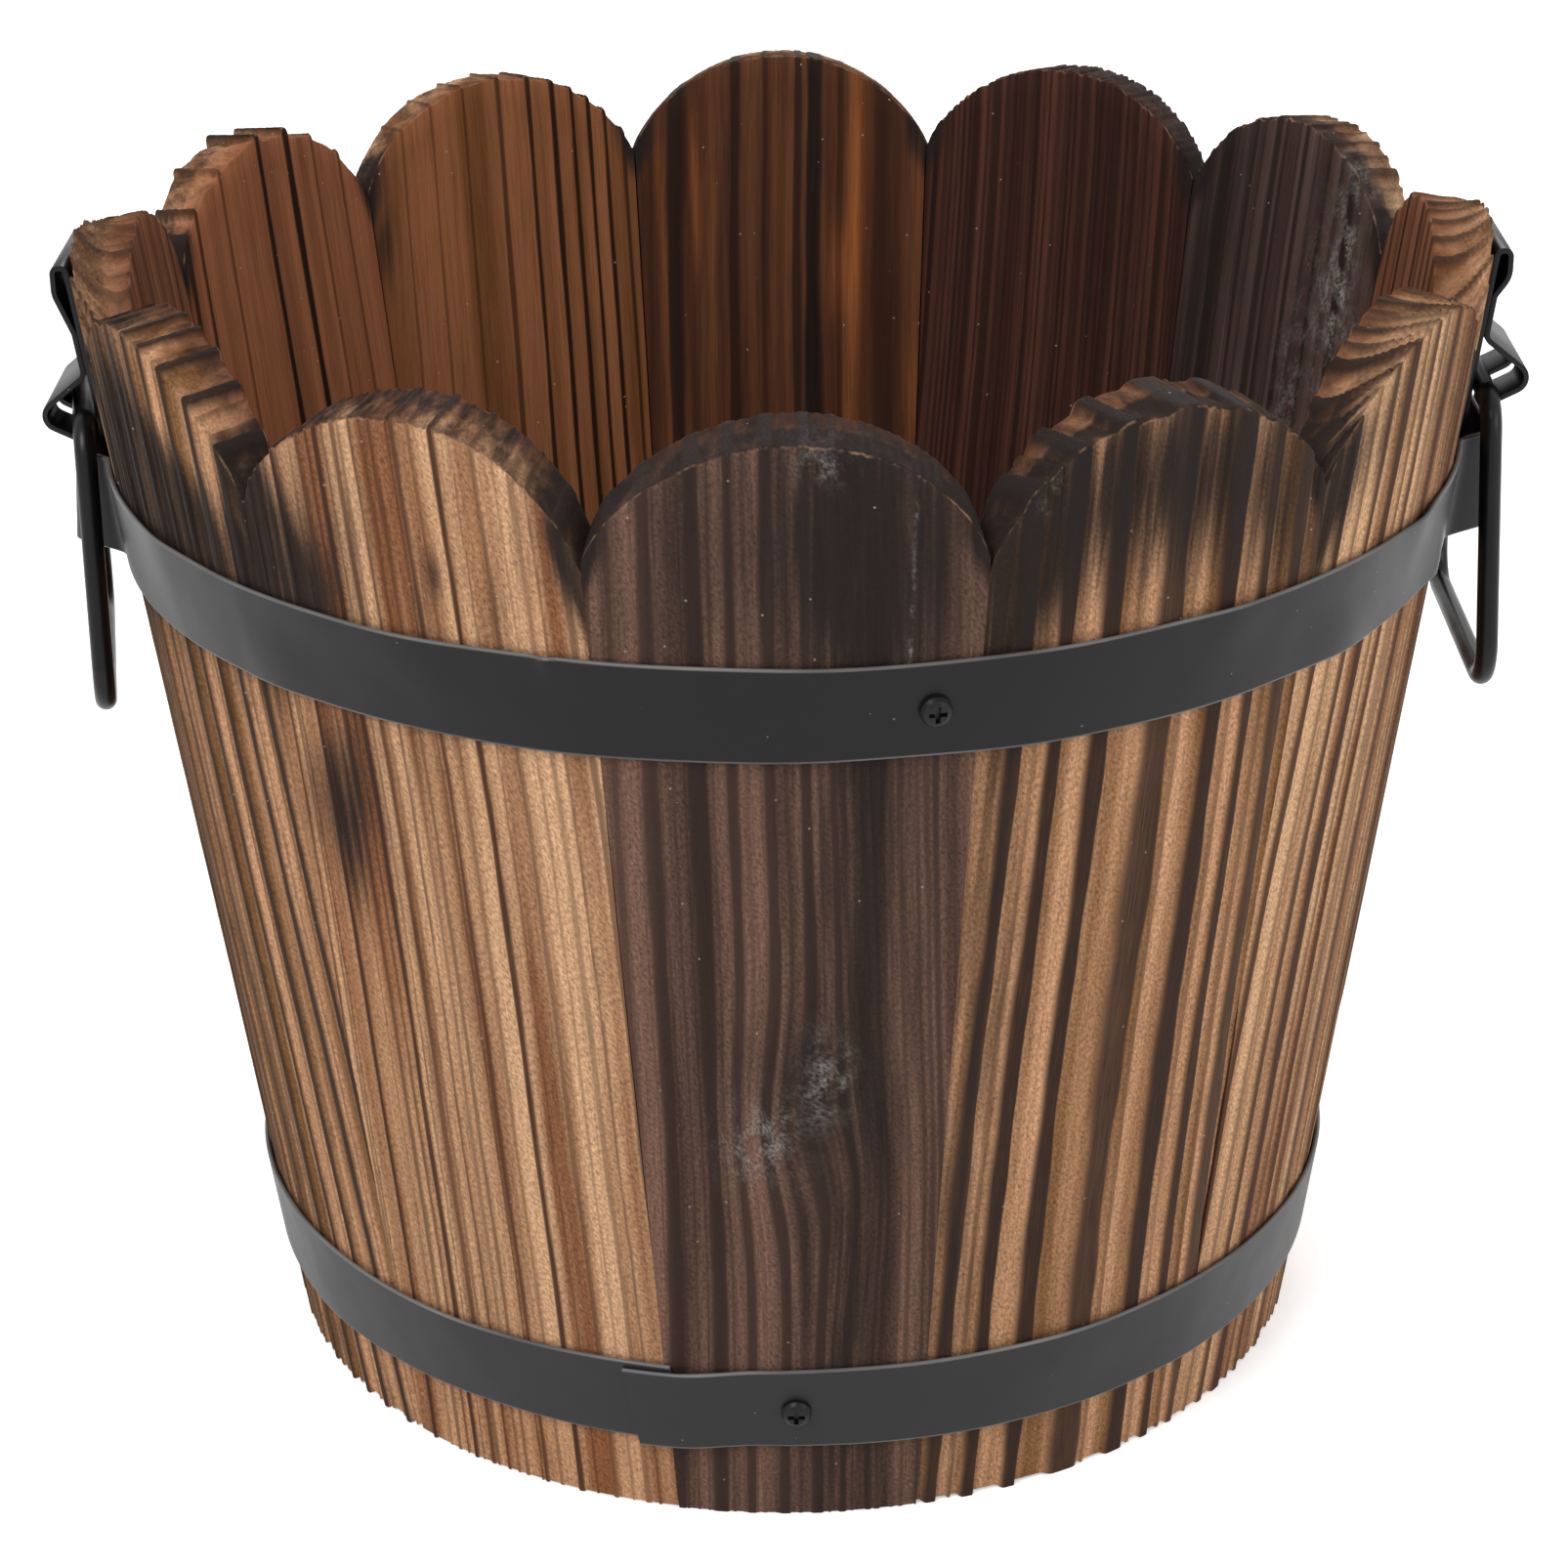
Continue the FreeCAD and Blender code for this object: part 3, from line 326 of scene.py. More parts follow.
            ("out", "char", 0.10, 0.84, 0.05, 0.06, 0.4), ("out", "char", 0.55, 0.86, 0.08, 0.08, 0.3),
            ("out", "char", -0.3, 0.45, 0.06, 0.5, 0.3), ("out", "ember", -0.75, 0.62, 0.45, 0.22, 0.35),
            ("out", "ember", 0.35, 0.90, 0.60, 0.09, 0.15), ("out", "ember", 0.1, 0.05, 1.2, 0.09, 0.3),
            ("out", "char", -0.75, 0.60, 0.40, 0.20, 0.18), ("out", "char", 0.2, 0.90, 0.9, 0.09, 0.16),
            ("out", "char", 0.0, 0.03, 1.2, 0.08, 0.20),
        ]},
}


def board_place(share, height, depth, shifts):
    """Level place on a stave that looks along +X, by share across it, height and depth."""
    radius = BASE_RADIUS + height * math.tan(LEAN)
    taper = 1 - height / CROWN_HEIGHT
    last = shifts[0] * taper + SEAM_EASE
    following = shifts[1] * taper - SEAM_EASE
    turn_last = np.arcsin(last / radius) - HALF_STAVE
    turn_next = np.arcsin(following / radius) + HALF_STAVE
    turn = turn_last + (turn_next - turn_last) * share
    flat = radius - BOARD / math.cos(LEAN)
    edge_last = (last - flat * math.sin(HALF_STAVE)) / math.cos(HALF_STAVE)
    edge_next = (following + flat * math.sin(HALF_STAVE)) / math.cos(HALF_STAVE)
    inner = edge_last + (edge_next - edge_last) * share
    x = radius * np.cos(turn) * (1 - depth) + flat * depth
    y = radius * np.sin(turn) * (1 - depth) + inner * depth
    return x, y


def crown_height(share, depth, shifts, crown_shift):
    """Height of the scalloped crown, cut by hand square to the face, its top a little to one side."""
    height = np.full(share.shape, CROWN_HEIGHT)
    aside = crown_shift * MM * 4 * share * (1 - share)
    for _ in range(CROWN_ROUNDS):
        x, y = board_place(share, height, depth, shifts)
        along = SHOULDER + np.sqrt(SCALLOP_RADIUS ** 2 - (y - aside) ** 2)
        height = (along - x * math.sin(LEAN)) / math.cos(LEAN)
    return height


def waves(dice, lengths, sizes):
    """A smooth wander, a sum of a few waves, as a function of the place along the board."""
    phases = [dice.uniform(0, 2 * math.pi) for _ in lengths]

    def wander(along):
        return sum(size * np.sin(along / length * 2 * math.pi + phase)
                   for length, size, phase in zip(lengths, sizes, phases))
    return wander


def board_grain(look, dice):
    """The place across the growth rings, in millimetres, as a function of a place in the board."""
    wander = waves(dice, WANDER_LENGTHS, WANDER_SIZES)

    def grain(y, height, depth):
        up = height / CROWN_HEIGHT
        rings = look["ring_slant"] * depth + look["ring_bow"] * 4 * depth * (1 - depth)
        place = y / MM + look["slant"] * up + rings + wander(height)
        for across, level, half_width, half_height, shift in look["swirls"]:
            away = ((y / MM - across) / half_width) ** 2 + ((up - level) / half_height) ** 2
            place = place + shift * np.exp(-away)
        return place
    return grain


def growth_lines(look, dice):
    """Hard growth lines of a board: middle, half width, strength, and swell along the board."""
    lines = list(look["lines"])
    for start, end, pitch, width, strength in look["runs"]:
        place = start
        while place < end:
            line_width = width * dice.uniform(*LINE_WIDTHS)
            lines.append((place, line_width, strength * dice.uniform(*LINE_STRENGTHS)))
            place += pitch * dice.uniform(*LINE_PITCHES)
    return [(middle, width / 2, strength, waves(dice, SWELL_LENGTHS, SWELL_SHARES))
            for middle, width, strength in lines]


def hardness(grain, height, lines):
    """How hard the wood is: 1 on a growth line, 0 in the soft wood.

    A line starts softly on the side where the ring grew and ends sharply.
    """
    hard = np.zeros(grain.shape)
    for middle, half, strength, swell in lines:
        grown = 1 + swell(height)
        away = (grain - middle) / (half * grown)
        soft_side = np.exp(-(away / SOFT_SIDE_REACH) ** SOFT_SIDE_POWER)
        sharp_side = np.exp(-(away / SHARP_SIDE_REACH) ** SHARP_SIDE_POWER)
        hard = np.maximum(hard, strength * np.where(away < 0, soft_side, sharp_side))
    return np.clip(hard, 0, 1)


def painted(marks, side, kind, across, up):
    """What the marks of one kind add on one side of a board."""
    total = np.zeros(across.shape)
    for mark_side, mark_kind, x, z, half_width, half_height, amount in marks:
        if (mark_side, mark_kind) == (side, kind):
            away = ((across - x) / half_width) ** 2 + ((up - z) / half_height) ** 2
            total += amount * np.exp(-away)
    return total


def stave_rows():
    """Height and depth shares of the rows that run once round the section of a board."""
    up = [((1 - ARRIS_UP) * row / FACE_ROWS, 0.0) for row in range(FACE_ROWS + 1)]
    over = [(1.0, ARRIS_IN + (1 - 2 * ARRIS_IN) * row / CROWN_ROWS) for row in range(CROWN_ROWS + 1)]
    down = [((1 - ARRIS_UP) * (1 - row / BACK_ROWS), 1.0) for row in range(BACK_ROWS)]
    under = [(0.0, 1.0 - row / FOOT_ROWS) for row in range(FOOT_ROWS + 1)]
    return np.array(up + [(1.0, 0.0)] + over + [(1.0, 1.0)] + down + under)


def torn_grain(number, depth_of_row):
    """Fine raggedness of the crown, the same for all rows of one depth."""
    dice = np.random.default_rng(number)
    levels, level_of_row = np.unique(depth_of_row, return_inverse=True)
    noise = dice.normal(size=(len(levels), COLUMNS + 1))
    smooth = (np.roll(noise, 1, axis=1) + noise + np.roll(noise, -1, axis=1)) / 3
    return RAGGED * np.abs(smooth)[level_of_row]


def scorched(look, across, up, depth, edge):
    """What the flame left on a board: soot, ash, and wood that it only browned."""
    is_inside = depth > 0.5
    traces = {}
    for kind in ("char", "ash", "ember"):
        outside, inside = (painted(look["marks"], side, kind, across, up) for side in ("out", "in"))
        traces[kind] = np.where(is_inside, inside, outside)
    all_over = np.where(is_inside, look["inside_char"], look["char"])
    on_crown = (up == 1) & (depth > 0) & (depth < 1)
    near_top = np.clip((up - NOTCH_SOOT_START) / NOTCH_SOOT_RISE, 0, 1)
    burnt = NOTCH_SOOT * np.exp(-(edge / NOTCH_BURN) ** 2) * near_top
    traces["char"] = np.clip(traces["char"] + all_over + burnt + look["crown_char"] * on_crown, 0, 1)
    return traces


def stave_arrays(number, look):
    """Points and painted values of one brushed stave that looks along +X."""
    dice = random.Random(FIRST_SEED + number)
    shifts = FOOT_SHIFTS.get(number, (0.0, 0.0))
    rows = stave_rows()
    share, up = np.meshgrid(np.linspace(0, 1, COLUMNS + 1), rows[:, 0])
    depth = np.repeat(rows[:, 1:], COLUMNS + 1, axis=1)
    grain = board_grain(look, dice)
    lines = growth_lines(look, dice)
    fuzz = waves(dice, FUZZ_LENGTHS, FUZZ_SHARES)
    # The crown is hollowed between the lines, torn, and sawn into at both seams.
    crown = crown_height(share, depth, shifts, look["crown_shift"])
    y = board_place(share, crown, depth, shifts)[1]
    hollow = 1 - hardness(grain(y, crown, depth), crown, lines) ** RIB_POWER
    deep = MM * (look["steps"][0] * (1 - share) + look["steps"][1] * share)
    edge = np.minimum(share, 1 - share) * 2 * y.max()
    notch = NOTCH_DROP * np.exp(-(edge / NOTCH_HALF) ** 2)
    ragged = torn_grain(number, rows[:, 1])
    top = crown - deep * hollow * (1 + CROWN_FUZZ * fuzz(y + depth * BOARD)) - notch - ragged
    height = up * top
    x, y = board_place(share, height, depth, shifts)
    place = grain(y, height, depth)
    hard = hardness(place, height, lines)
    # The faces are hollowed between the lines, and the arrises of the crown are worn.
    relief = look["relief"] * MM * (1 - hard ** RIB_POWER) * (1 + fuzz(height + FUZZ_SLANT * y))
    outer_share = np.clip(1 - depth / RELIEF_FADE, 0, 1)
    inner_share = np.clip(1 - (1 - depth) / RELIEF_FADE, 0, 1)
    on_arris = (up == 1) & ((depth == 0) | (depth == 1))
    x = x - relief * (outer_share - INSIDE_BRUSH * inner_share)
    x = x + on_arris * ARRIS_WEAR * np.where(depth == 0, -1, 1)
    height = height - on_arris * ARRIS_WEAR + np.where(up == 0, FOOT_BRUSH * relief, 0)
    values = {
        "hard": hard,
        "inside": depth,
        "worn": on_arris.astype(float),
        "board": np.stack([place * MM, height + number * LOG_STEP, depth * BOARD], axis=-1),
    }
    values.update(scorched(look, share * 2 - 1, up, depth, edge))
    return np.stack([x, y, height], axis=-1), values


def rolled_grid(name, points, values, smooth_angle):
    """A grid rolled once round a section, welded where it meets itself and capped at both ends."""
    rows, columns = points.shape[:2]
    bpy.ops.object.select_all(action="DESELECT")
    bpy.ops.mesh.primitive_grid_add(x_subdivisions=columns - 1, y_subdivisions=rows - 1, size=1)
    piece = bpy.context.object
    piece.name = name
    mesh = piece.data
    mesh.name = name
    mesh.vertices.foreach_set("co", points.astype(np.float32).ravel())
    for value_name, value in values.items():
        kind, field = ("FLOAT_VECTOR", "vector") if value.ndim == 3 else ("FLOAT", "value")
        painted_value = mesh.attributes.new(value_name, kind, "POINT")
        painted_value.data.foreach_set(field, value.astype(np.float32).ravel())
    bpy.ops.object.mode_set(mode="EDIT")
    bpy.ops.mesh.select_all(action="SELECT")
    bpy.ops.mesh.remove_doubles(threshold=WELD_DISTANCE)
    bpy.ops.mesh.select_all(action="SELECT")
    bpy.ops.mesh.fill_holes(sides=0)
    bpy.ops.mesh.select_all(action="SELECT")
    bpy.ops.mesh.normals_make_consistent(inside=False)
    bpy.ops.object.mode_set(mode="OBJECT")
    bpy.ops.object.shade_smooth_by_angle(angle=math.radians(smooth_angle))
    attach(piece, "tub")
    return piece


def make_stave(number, material):
    """One brushed stave, turned to its place in the ring."""
    points, values = stave_arrays(number, STAVE_LOOKS[number])
    spin = np.array(Matrix.Rotation(FRONT + (number - 1) * 2 * HALF_STAVE, 3, "Z"))
    piece = rolled_grid(f"brushed_stave_{number:02d}", points @ spin.T, values, STAVE_SMOOTH)
    piece.data.materials.append(material)
    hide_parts(f"stave_{number:02d}")


def eased(share):
    """From 0 to 1, level at both ends."""
    share = np.clip(share, 0, 1)
    return share * share * (3 - 2 * share)


def band_rows():
    """Width and thickness shares of the rows that run once round the section of a band."""
    edge = STRIP_EDGE / BAND_WIDTH
    inset = STRIP_EDGE / BAND_THICKNESS
    middle = [(row / BAND_ROWS, 1.0) for row in range(1, BAND_ROWS)]
    face = [(edge, 1.0), (2 * edge, 1.0)] + middle + [(1 - 2 * edge, 1.0), (1 - edge, 1.0)]
    back = [(1.0, 1 - inset), (1.0, inset), (1 - edge, 0.0), (0.5, 0.0), (edge, 0.0), (0.0, inset)]
    return np.array(face + back + [(0.0, 1 - inset), face[0]])


def band_arrays(lift, lap_angle, bulged, dents):
    """Points of a band and its rims, where a highlight is painted: a strip rolled round the pot, lapped on
    its own end.

    Dents are (degrees from the front, share of the width, half length in degrees, half width
    as a share, millimetres outwards). A bulged band is pressed out over the end of each strap.
    """
    rows = band_rows()
    dice = random.Random(lap_angle)
    share, up = np.meshgrid(np.linspace(0, 1, BAND_COLUMNS + 1), rows[:, 0])
    thick = np.repeat(rows[:, 1:], BAND_COLUMNS + 1, axis=1)
    start = LAP_SLANT * (1 - up)
    swept = start + (2 * math.pi + LAP_SPAN - start) * share
    turn = FRONT + math.radians(lap_angle) + swept
    settled = eased((swept - LAP_SPAN) / LAP_SETTLE)
    low_rim = waves(dice, RIM_WAVE_LENGTHS, RIM_WAVE_SIZES)(BASE_RADIUS * turn)
    high_rim = waves(dice, RIM_WAVE_LENGTHS, RIM_WAVE_SIZES)(BASE_RADIUS * turn)
    height = lift + BAND_WIDTH * up + low_rim * (1 - up) + high_rim * up - LAP_DROP * (1 - settled)
    stave = BASE_RADIUS + height * math.tan(LEAN)
    radius = stave + BAND_FIT + BAND_THICKNESS * (thick + 1 - settled)
    for angle, level, half_angle, half_level, size in dents:
        aside = (np.degrees(turn - FRONT) - angle + 180) % 360 - 180
        radius = radius + size * MM * np.exp(-(aside / half_angle) ** 2 - ((up - level) / half_level) ** 2)
    x = radius * np.cos(turn)
    y = radius * np.sin(turn)
    flank = BULGE_FLANK + BULGE_SPREAD * (1 - up)
    pressed = bulged * (1 - eased((np.abs(y) - BULGE_HALF - BULGE_WALL * thick) / flank))
    front = stave + BULGE_ROOM + BULGE_FLARE * (1 - up) + BAND_THICKNESS * thick
    x = np.sign(x) * (np.abs(x) * (1 - pressed) + front * pressed)
    # Painted highlight: the rows along both edges of the strip are marked, and the paint turns light grey
    # there.
    highlit_rim = (np.abs(up - 0.5) > 0.5 - 1.5 * STRIP_EDGE / BAND_WIDTH).astype(float)
    return np.stack([x, y, height], axis=-1), {"highlit_rim": highlit_rim}


# The bands: lift, angle of the lap from the front, pressed out over the straps or not, dents
BANDS = {
    "upper_band": (UPPER_BAND_LIFT, 163.0, 1, [
        (-18.0, 1.0, 0.6, 0.10, 0.7), (2.0, 0.4, 5.0, 0.8, 0.45), (20.0, 0.3, 5.0, 0.6, 0.45),
        (36.0, 0.9, 3.5, 0.4, 0.45), (50.0, 0.1, 4.0, 0.4, 0.80), (62.0, 0.9, 3.0, 0.4, 0.80),
        (70.0, 0.1, 2.5, 0.4, 0.90), (-30.0, 0.8, 5.0, 0.5, 0.40), (-44.0, 0.1, 4.0, 0.4, 0.60),
        (-60.0, 0.8, 4.0, 0.5, 0.60)]),
    "lower_band": (LOWER_BAND_LIFT, -17.0, 0, [
        (8.0, 0.2, 5.0, 0.6, 0.20), (27.0, 0.8, 6.0, 0.5, 0.30), (44.0, 0.1, 4.0, 0.5, 0.30),
        (-36.0, 0.9, 5.0, 0.5, 0.30), (-58.0, 0.3, 6.0, 0.5, 0.30)]),
}


def make_band(node, material):
    """One band of steel strip, bent and lapped by hand."""
    points, values = band_arrays(*BANDS[node])
    piece = rolled_grid(f"rolled_{node}", points, values, BAND_SMOOTH)
    piece.data.materials.append(material)
    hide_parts(node)


# Patterns of the wood: the size in metres of one feature across the grain, along it and into the
# board, how far the pattern is turned, in radians, and how fine its detail goes. They are fibres,
# streaks of soot, strips of redder wood, the slanted nap that the brush left, and clouds of ash.
WOOD_PATTERNS = {
    "fibre": ((0.00035, 0.013, 0.0012), 0.0, 3.0),
    "streak": ((0.0022, 0.055, 0.006), 0.0, 3.0),
    "strip": ((0.0065, 0.30, 0.012), 0.0, 2.0),
    "nap": ((0.0005, 0.0009, 0.0006), 0.5, 2.0),
    "cloud": ((0.003, 0.005, 0.003), 0.0, 3.0),
}


def wood_patterns(tree, board):
    """The strength of each pattern of the wood, laid along the grain of a board."""
    patterns = {}
    for pattern, (size, turn, detail) in WOOD_PATTERNS.items():
        place = add_node(tree, "ShaderNodeMapping",
                         {"vector_type": "TEXTURE", "Scale": size, "Rotation": (0, 0, turn)},
                         {"Vector": board})
        noise = add_node(tree, "ShaderNodeTexNoise", {"Scale": 1.0, "Detail": detail, "Roughness": 0.6},
                         {"Vector": place.outputs[0]})
        patterns[pattern] = noise.outputs["Fac"]
    return patterns


def bare_wood(tree, look, values, patterns, late):
    """Colour of the wood by itself: soft wood, its darker strips, and hard late wood in lines."""
    strip = add_node(tree, "ShaderNodeMapRange", {"From Min": 0.40, "From Max": 0.62},
                     {"Value": patterns["strip"]})
    woods = {}
    for side in ("wood", "inside"):
        soft_colour, strip_colour, late_colour = (linear(colour) for colour in look[side])
        early = add_node(tree, "ShaderNodeMix", {"data_type": "RGBA", 6: soft_colour, 7: strip_colour},
                         {0: strip.outputs[0]})
        warm = add_node(tree, "ShaderNodeMix", {"data_type": "RGBA", 7: linear("#9C5C32")},
                        {0: values["ember"], 6: early.outputs[2]})
        lined = add_node(tree, "ShaderNodeMix", {"data_type": "RGBA", 7: late_colour},
                         {0: late, 6: warm.outputs[2]})
        woods[side] = lined.outputs[2]
    wood = add_node(tree, "ShaderNodeMix", {"data_type": "RGBA"},
                    {0: values["inside"], 6: woods["wood"], 7: woods["inside"]})
    # Fibres shade all the wood, the nap shades only the soft wood of the outside.
    fibre_tone = add_node(tree, "ShaderNodeMapRange",
                          {"From Min": 0.25, "From Max": 0.75, "To Min": 0.70, "To Max": 1.28},
                          {"Value": patterns["fibre"]})
    nap_tone = add_node(tree, "ShaderNodeMapRange",
                        {"From Min": 0.3, "From Max": 0.7, "To Min": 0.60, "To Max": 1.40},
                        {"Value": patterns["nap"]})
    smooth = add_node(tree, "ShaderNodeMath", {"operation": "MAXIMUM"}, {0: late, 1: values["inside"]})
    soft_tone = add_node(tree, "ShaderNodeMix", {"data_type": "FLOAT", 3: 1.0},
                         {0: smooth.outputs[0], 2: nap_tone.outputs[0]})
    tone = add_node(tree, "ShaderNodeMath", {"operation": "MULTIPLY"},
                    {0: fibre_tone.outputs[0], 1: soft_tone.outputs[0]})
    toned = add_node(tree, "ShaderNodeVectorMath", {"operation": "SCALE"},
                     {0: wood.outputs[2], "Scale": tone.outputs[0]})
    return toned.outputs[0]


def burnt_wood(tree, values, patterns, wood):
    """Colour of the wood under what the flame and the hand left on it: soot, rubbed arrises, ash."""
    # Soot fills along the streaks first.
    soot_edge = add_node(tree, "ShaderNodeMath", {"operation": "MULTIPLY_ADD", 1: 1.3, 2: -0.68},
                         {0: patterns["streak"]})
    soot = add_node(tree, "ShaderNodeMath", {"operation": "ADD", "use_clamp": True},
                    {0: values["char"], 1: soot_edge.outputs[0]})
    soot_cover = add_node(tree, "ShaderNodeMapRange", {"interpolation_type": "SMOOTHSTEP", "To Max": 0.97},
                          {"Value": soot.outputs[0]})
    sooty = add_node(tree, "ShaderNodeMix", {"data_type": "RGBA", 7: linear("#272120")},
                     {0: soot_cover.outputs[0], 6: wood})
    # The arris of the crown is rubbed pale in places.
    bare = add_node(tree, "ShaderNodeMapRange", {"From Min": 0.48, "From Max": 0.68},
                    {"Value": patterns["cloud"]})
    rubbed_and_highlit = add_node(tree, "ShaderNodeMath", {"operation": "MULTIPLY"},
                      {0: values["worn"], 1: bare.outputs[0]})
    worn = add_node(tree, "ShaderNodeMix", {"data_type": "RGBA", 7: linear("#8F7058")},
                    {0: rubbed_and_highlit.outputs[0], 6: sooty.outputs[2]})
    # Ash lies in clouds, thinned by the nap.
    cloud = add_node(tree, "ShaderNodeMapRange", {"From Min": 0.42, "From Max": 0.68},
                     {"Value": patterns["cloud"]})
    grain = add_node(tree, "ShaderNodeMapRange", {"From Min": 0.35, "From Max": 0.65},
                     {"Value": patterns["nap"]})
    ash = add_node(tree, "ShaderNodeMath", {"operation": "MULTIPLY"},
                   {0: values["ash"], 1: cloud.outputs[0]})
    ash_cover = add_node(tree, "ShaderNodeMath", {"operation": "MULTIPLY", "use_clamp": True},
                         {0: ash.outputs[0], 1: grain.outputs[0]})
    ashen = add_node(tree, "ShaderNodeMix", {"data_type": "RGBA", 7: linear("#A9A6A2")},
                     {0: ash_cover.outputs[0], 6: worn.outputs[2]})
    return ashen.outputs[2]


def dusted(tree, place, surface, colour, spacing, speck, cover):
    """Colour of a surface with dust on it.

    Specks lie at a spacing in metres. A speck is two shares of that: it covers up to the first
    and ends at the second.
    """
    specks = add_node(tree, "ShaderNodeTexVoronoi", {"Scale": 1 / spacing}, {"Vector": place})
    dust = add_node(tree, "ShaderNodeMapRange",
                    {"From Min": speck[0], "From Max": speck[1], "To Min": cover, "To Max": 0.0},
                    {"Value": specks.outputs["Distance"]})
    dusty = add_node(tree, "ShaderNodeMix", {"data_type": "RGBA", 7: linear(colour)},
                     {0: dust.outputs[0], 6: surface})
    return dusty.outputs[2]


def brushed_fir(name, look):
    """Fir, charred with a flame and then wire-brushed along the grain.

    The eye sees hard growth lines that stayed dark and smooth, soft wood between them that is
    lighter and fuzzy, streaks of soot, and grey ash where the flame stayed longest.
    """
    material, tree, shader = new_material(name)
    values = {value: add_node(tree, "ShaderNodeAttribute", {"attribute_name": value}).outputs["Fac"]
              for value in ("hard", "inside", "worn", "char", "ash", "ember")}
    board = add_node(tree, "ShaderNodeAttribute", {"attribute_name": "board"}).outputs["Vector"]
    patterns = wood_patterns(tree, board)
    # The edge of a growth line frays with the fibres.
    fray = add_node(tree, "ShaderNodeMath", {"operation": "MULTIPLY_ADD", 1: 0.5, 2: -0.25},
                    {0: patterns["fibre"]})
    late = add_node(tree, "ShaderNodeMath", {"operation": "ADD", "use_clamp": True},
                    {0: values["hard"], 1: fray.outputs[0]})
    wood = bare_wood(tree, look, values, patterns, late.outputs[0])
    burnt = burnt_wood(tree, values, patterns, wood)
    # Specks of dust about 0.4 mm wide
    dusty = dusted(tree, board, burnt, "#B5ADA4", spacing=0.0050, speck=(0.035, 0.05), cover=0.5)
    tree.links.new(dusty, shader.inputs["Base Color"])
    gloss = add_node(tree, "ShaderNodeMapRange", {"To Min": 0.88, "To Max": 0.60},
                     {"Value": late.outputs[0]})
    tree.links.new(gloss.outputs[0], shader.inputs["Roughness"])
    shader.inputs["Specular IOR Level"].default_value = 0.06
    # The nap stands up more on the outside than on the inside.
    nap_height = add_node(tree, "ShaderNodeMath", {"operation": "ADD"},
                          {0: patterns["fibre"], 1: patterns["nap"]})
    nap_strength = add_node(tree, "ShaderNodeMapRange", {"To Min": 0.65, "To Max": 0.25},
                            {"Value": values["inside"]})
    bump = add_node(tree, "ShaderNodeBump", {"Distance": 0.00035},
                    {"Height": nap_height.outputs[0], "Strength": nap_strength.outputs[0]})
    tree.links.new(bump.outputs[0], shader.inputs["Normal"])
    return material


def black_paint(name, colour, roughness):
    """Mild steel, sprayed with satin black paint: a soft sheen, faint dents, fine dust in the coat, and a
    painted highlight on the rims of the bands.
    """
    material, tree, shader = new_material(name)
    place = add_node(tree, "ShaderNodeTexCoord").outputs["Object"]
    # Dents about 25 mm wide, and grit of 0.9 mm, drawn coarse so that it shows
    dent = add_node(tree, "ShaderNodeTexNoise", {"Scale": 1 / 0.025, "Detail": 2.0}, {"Vector": place})
    grit = add_node(tree, "ShaderNodeTexNoise", {"Scale": 1 / 0.0009, "Detail": 2.0}, {"Vector": place})
    # Painted highlight: along the rims of the bands the paint is mixed toward light grey, in patches, for
    # the shine of their edges.
    highlit_rim = add_node(tree, "ShaderNodeAttribute", {"attribute_name": "highlit_rim"})
    rubbed_and_highlit = add_node(tree, "ShaderNodeMath", {"operation": "MULTIPLY"},
                      {0: highlit_rim.outputs["Fac"], 1: dent.outputs["Fac"]})
    coat_and_highlight = add_node(tree, "ShaderNodeMix", {"data_type": "RGBA", 6: linear(colour), 7: linear("#8A8886")},
                    {0: rubbed_and_highlit.outputs[0]})
    # Specks of dust about 0.4 mm wide
    dusty = dusted(tree, place, coat_and_highlight.outputs[2], "#8C8A88", spacing=0.0048, speck=(0.03, 0.045), cover=0.6)
    tree.links.new(dusty, shader.inputs["Base Color"])
    sheen = add_node(tree, "ShaderNodeMapRange", {"To Min": roughness - 0.08, "To Max": roughness + 0.08},
                     {"Value": dent.outputs["Fac"]})
    tree.links.new(sheen.outputs[0], shader.inputs["Roughness"])
    shader.inputs["Specular IOR Level"].default_value = 0.25
    fine = add_node(tree, "ShaderNodeBump", {"Strength": 0.12, "Distance": 0.00005},
                    {"Height": grit.outputs["Fac"]})
    bump = add_node(tree, "ShaderNodeBump", {"Strength": 0.5, "Distance": 0.0016},
                    {"Height": dent.outputs["Fac"], "Normal": fine.outputs[0]})
    tree.links.new(bump.outputs[0], shader.inputs["Normal"])
    return material


def sawn_board(name):
    """Fir board, sawn and stained: flat brown with long grain lines along Y."""
    material, tree, shader = new_material(name)
    place = add_node(tree, "ShaderNodeTexCoord")
    # Grain lines about 3 mm wide and 120 mm long
    long_place = add_node(tree, "ShaderNodeMapping",
                          {"vector_type": "TEXTURE", "Scale": (0.0030, 0.12, 0.006)},
                          {"Vector": place.outputs["Object"]})
    grain = add_node(tree, "ShaderNodeTexNoise", {"Scale": 1.0, "Detail": 4.0, "Roughness": 0.6},
                     {"Vector": long_place.outputs[0]})
    ramp = add_node(tree, "ShaderNodeValToRGB",
                    {"stops": [(0.3, linear("#2A1A12")), (0.65, linear("#6B452A"))]},
                    {"Fac": grain.outputs["Fac"]})
    tree.links.new(ramp.outputs[0], shader.inputs["Base Color"])
    shader.inputs["Roughness"].default_value = 0.8
    bump = add_node(tree, "ShaderNodeBump", {"Strength": 0.4, "Distance": 0.0004},
                    {"Height": grain.outputs["Fac"]})
    tree.links.new(bump.outputs[0], shader.inputs["Normal"])
    return material


def dress(material, *nodes):
    """Give CAD nodes a better material."""
    for node in nodes:
        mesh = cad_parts[node].data
        mesh.materials.clear()
        mesh.materials.append(material)


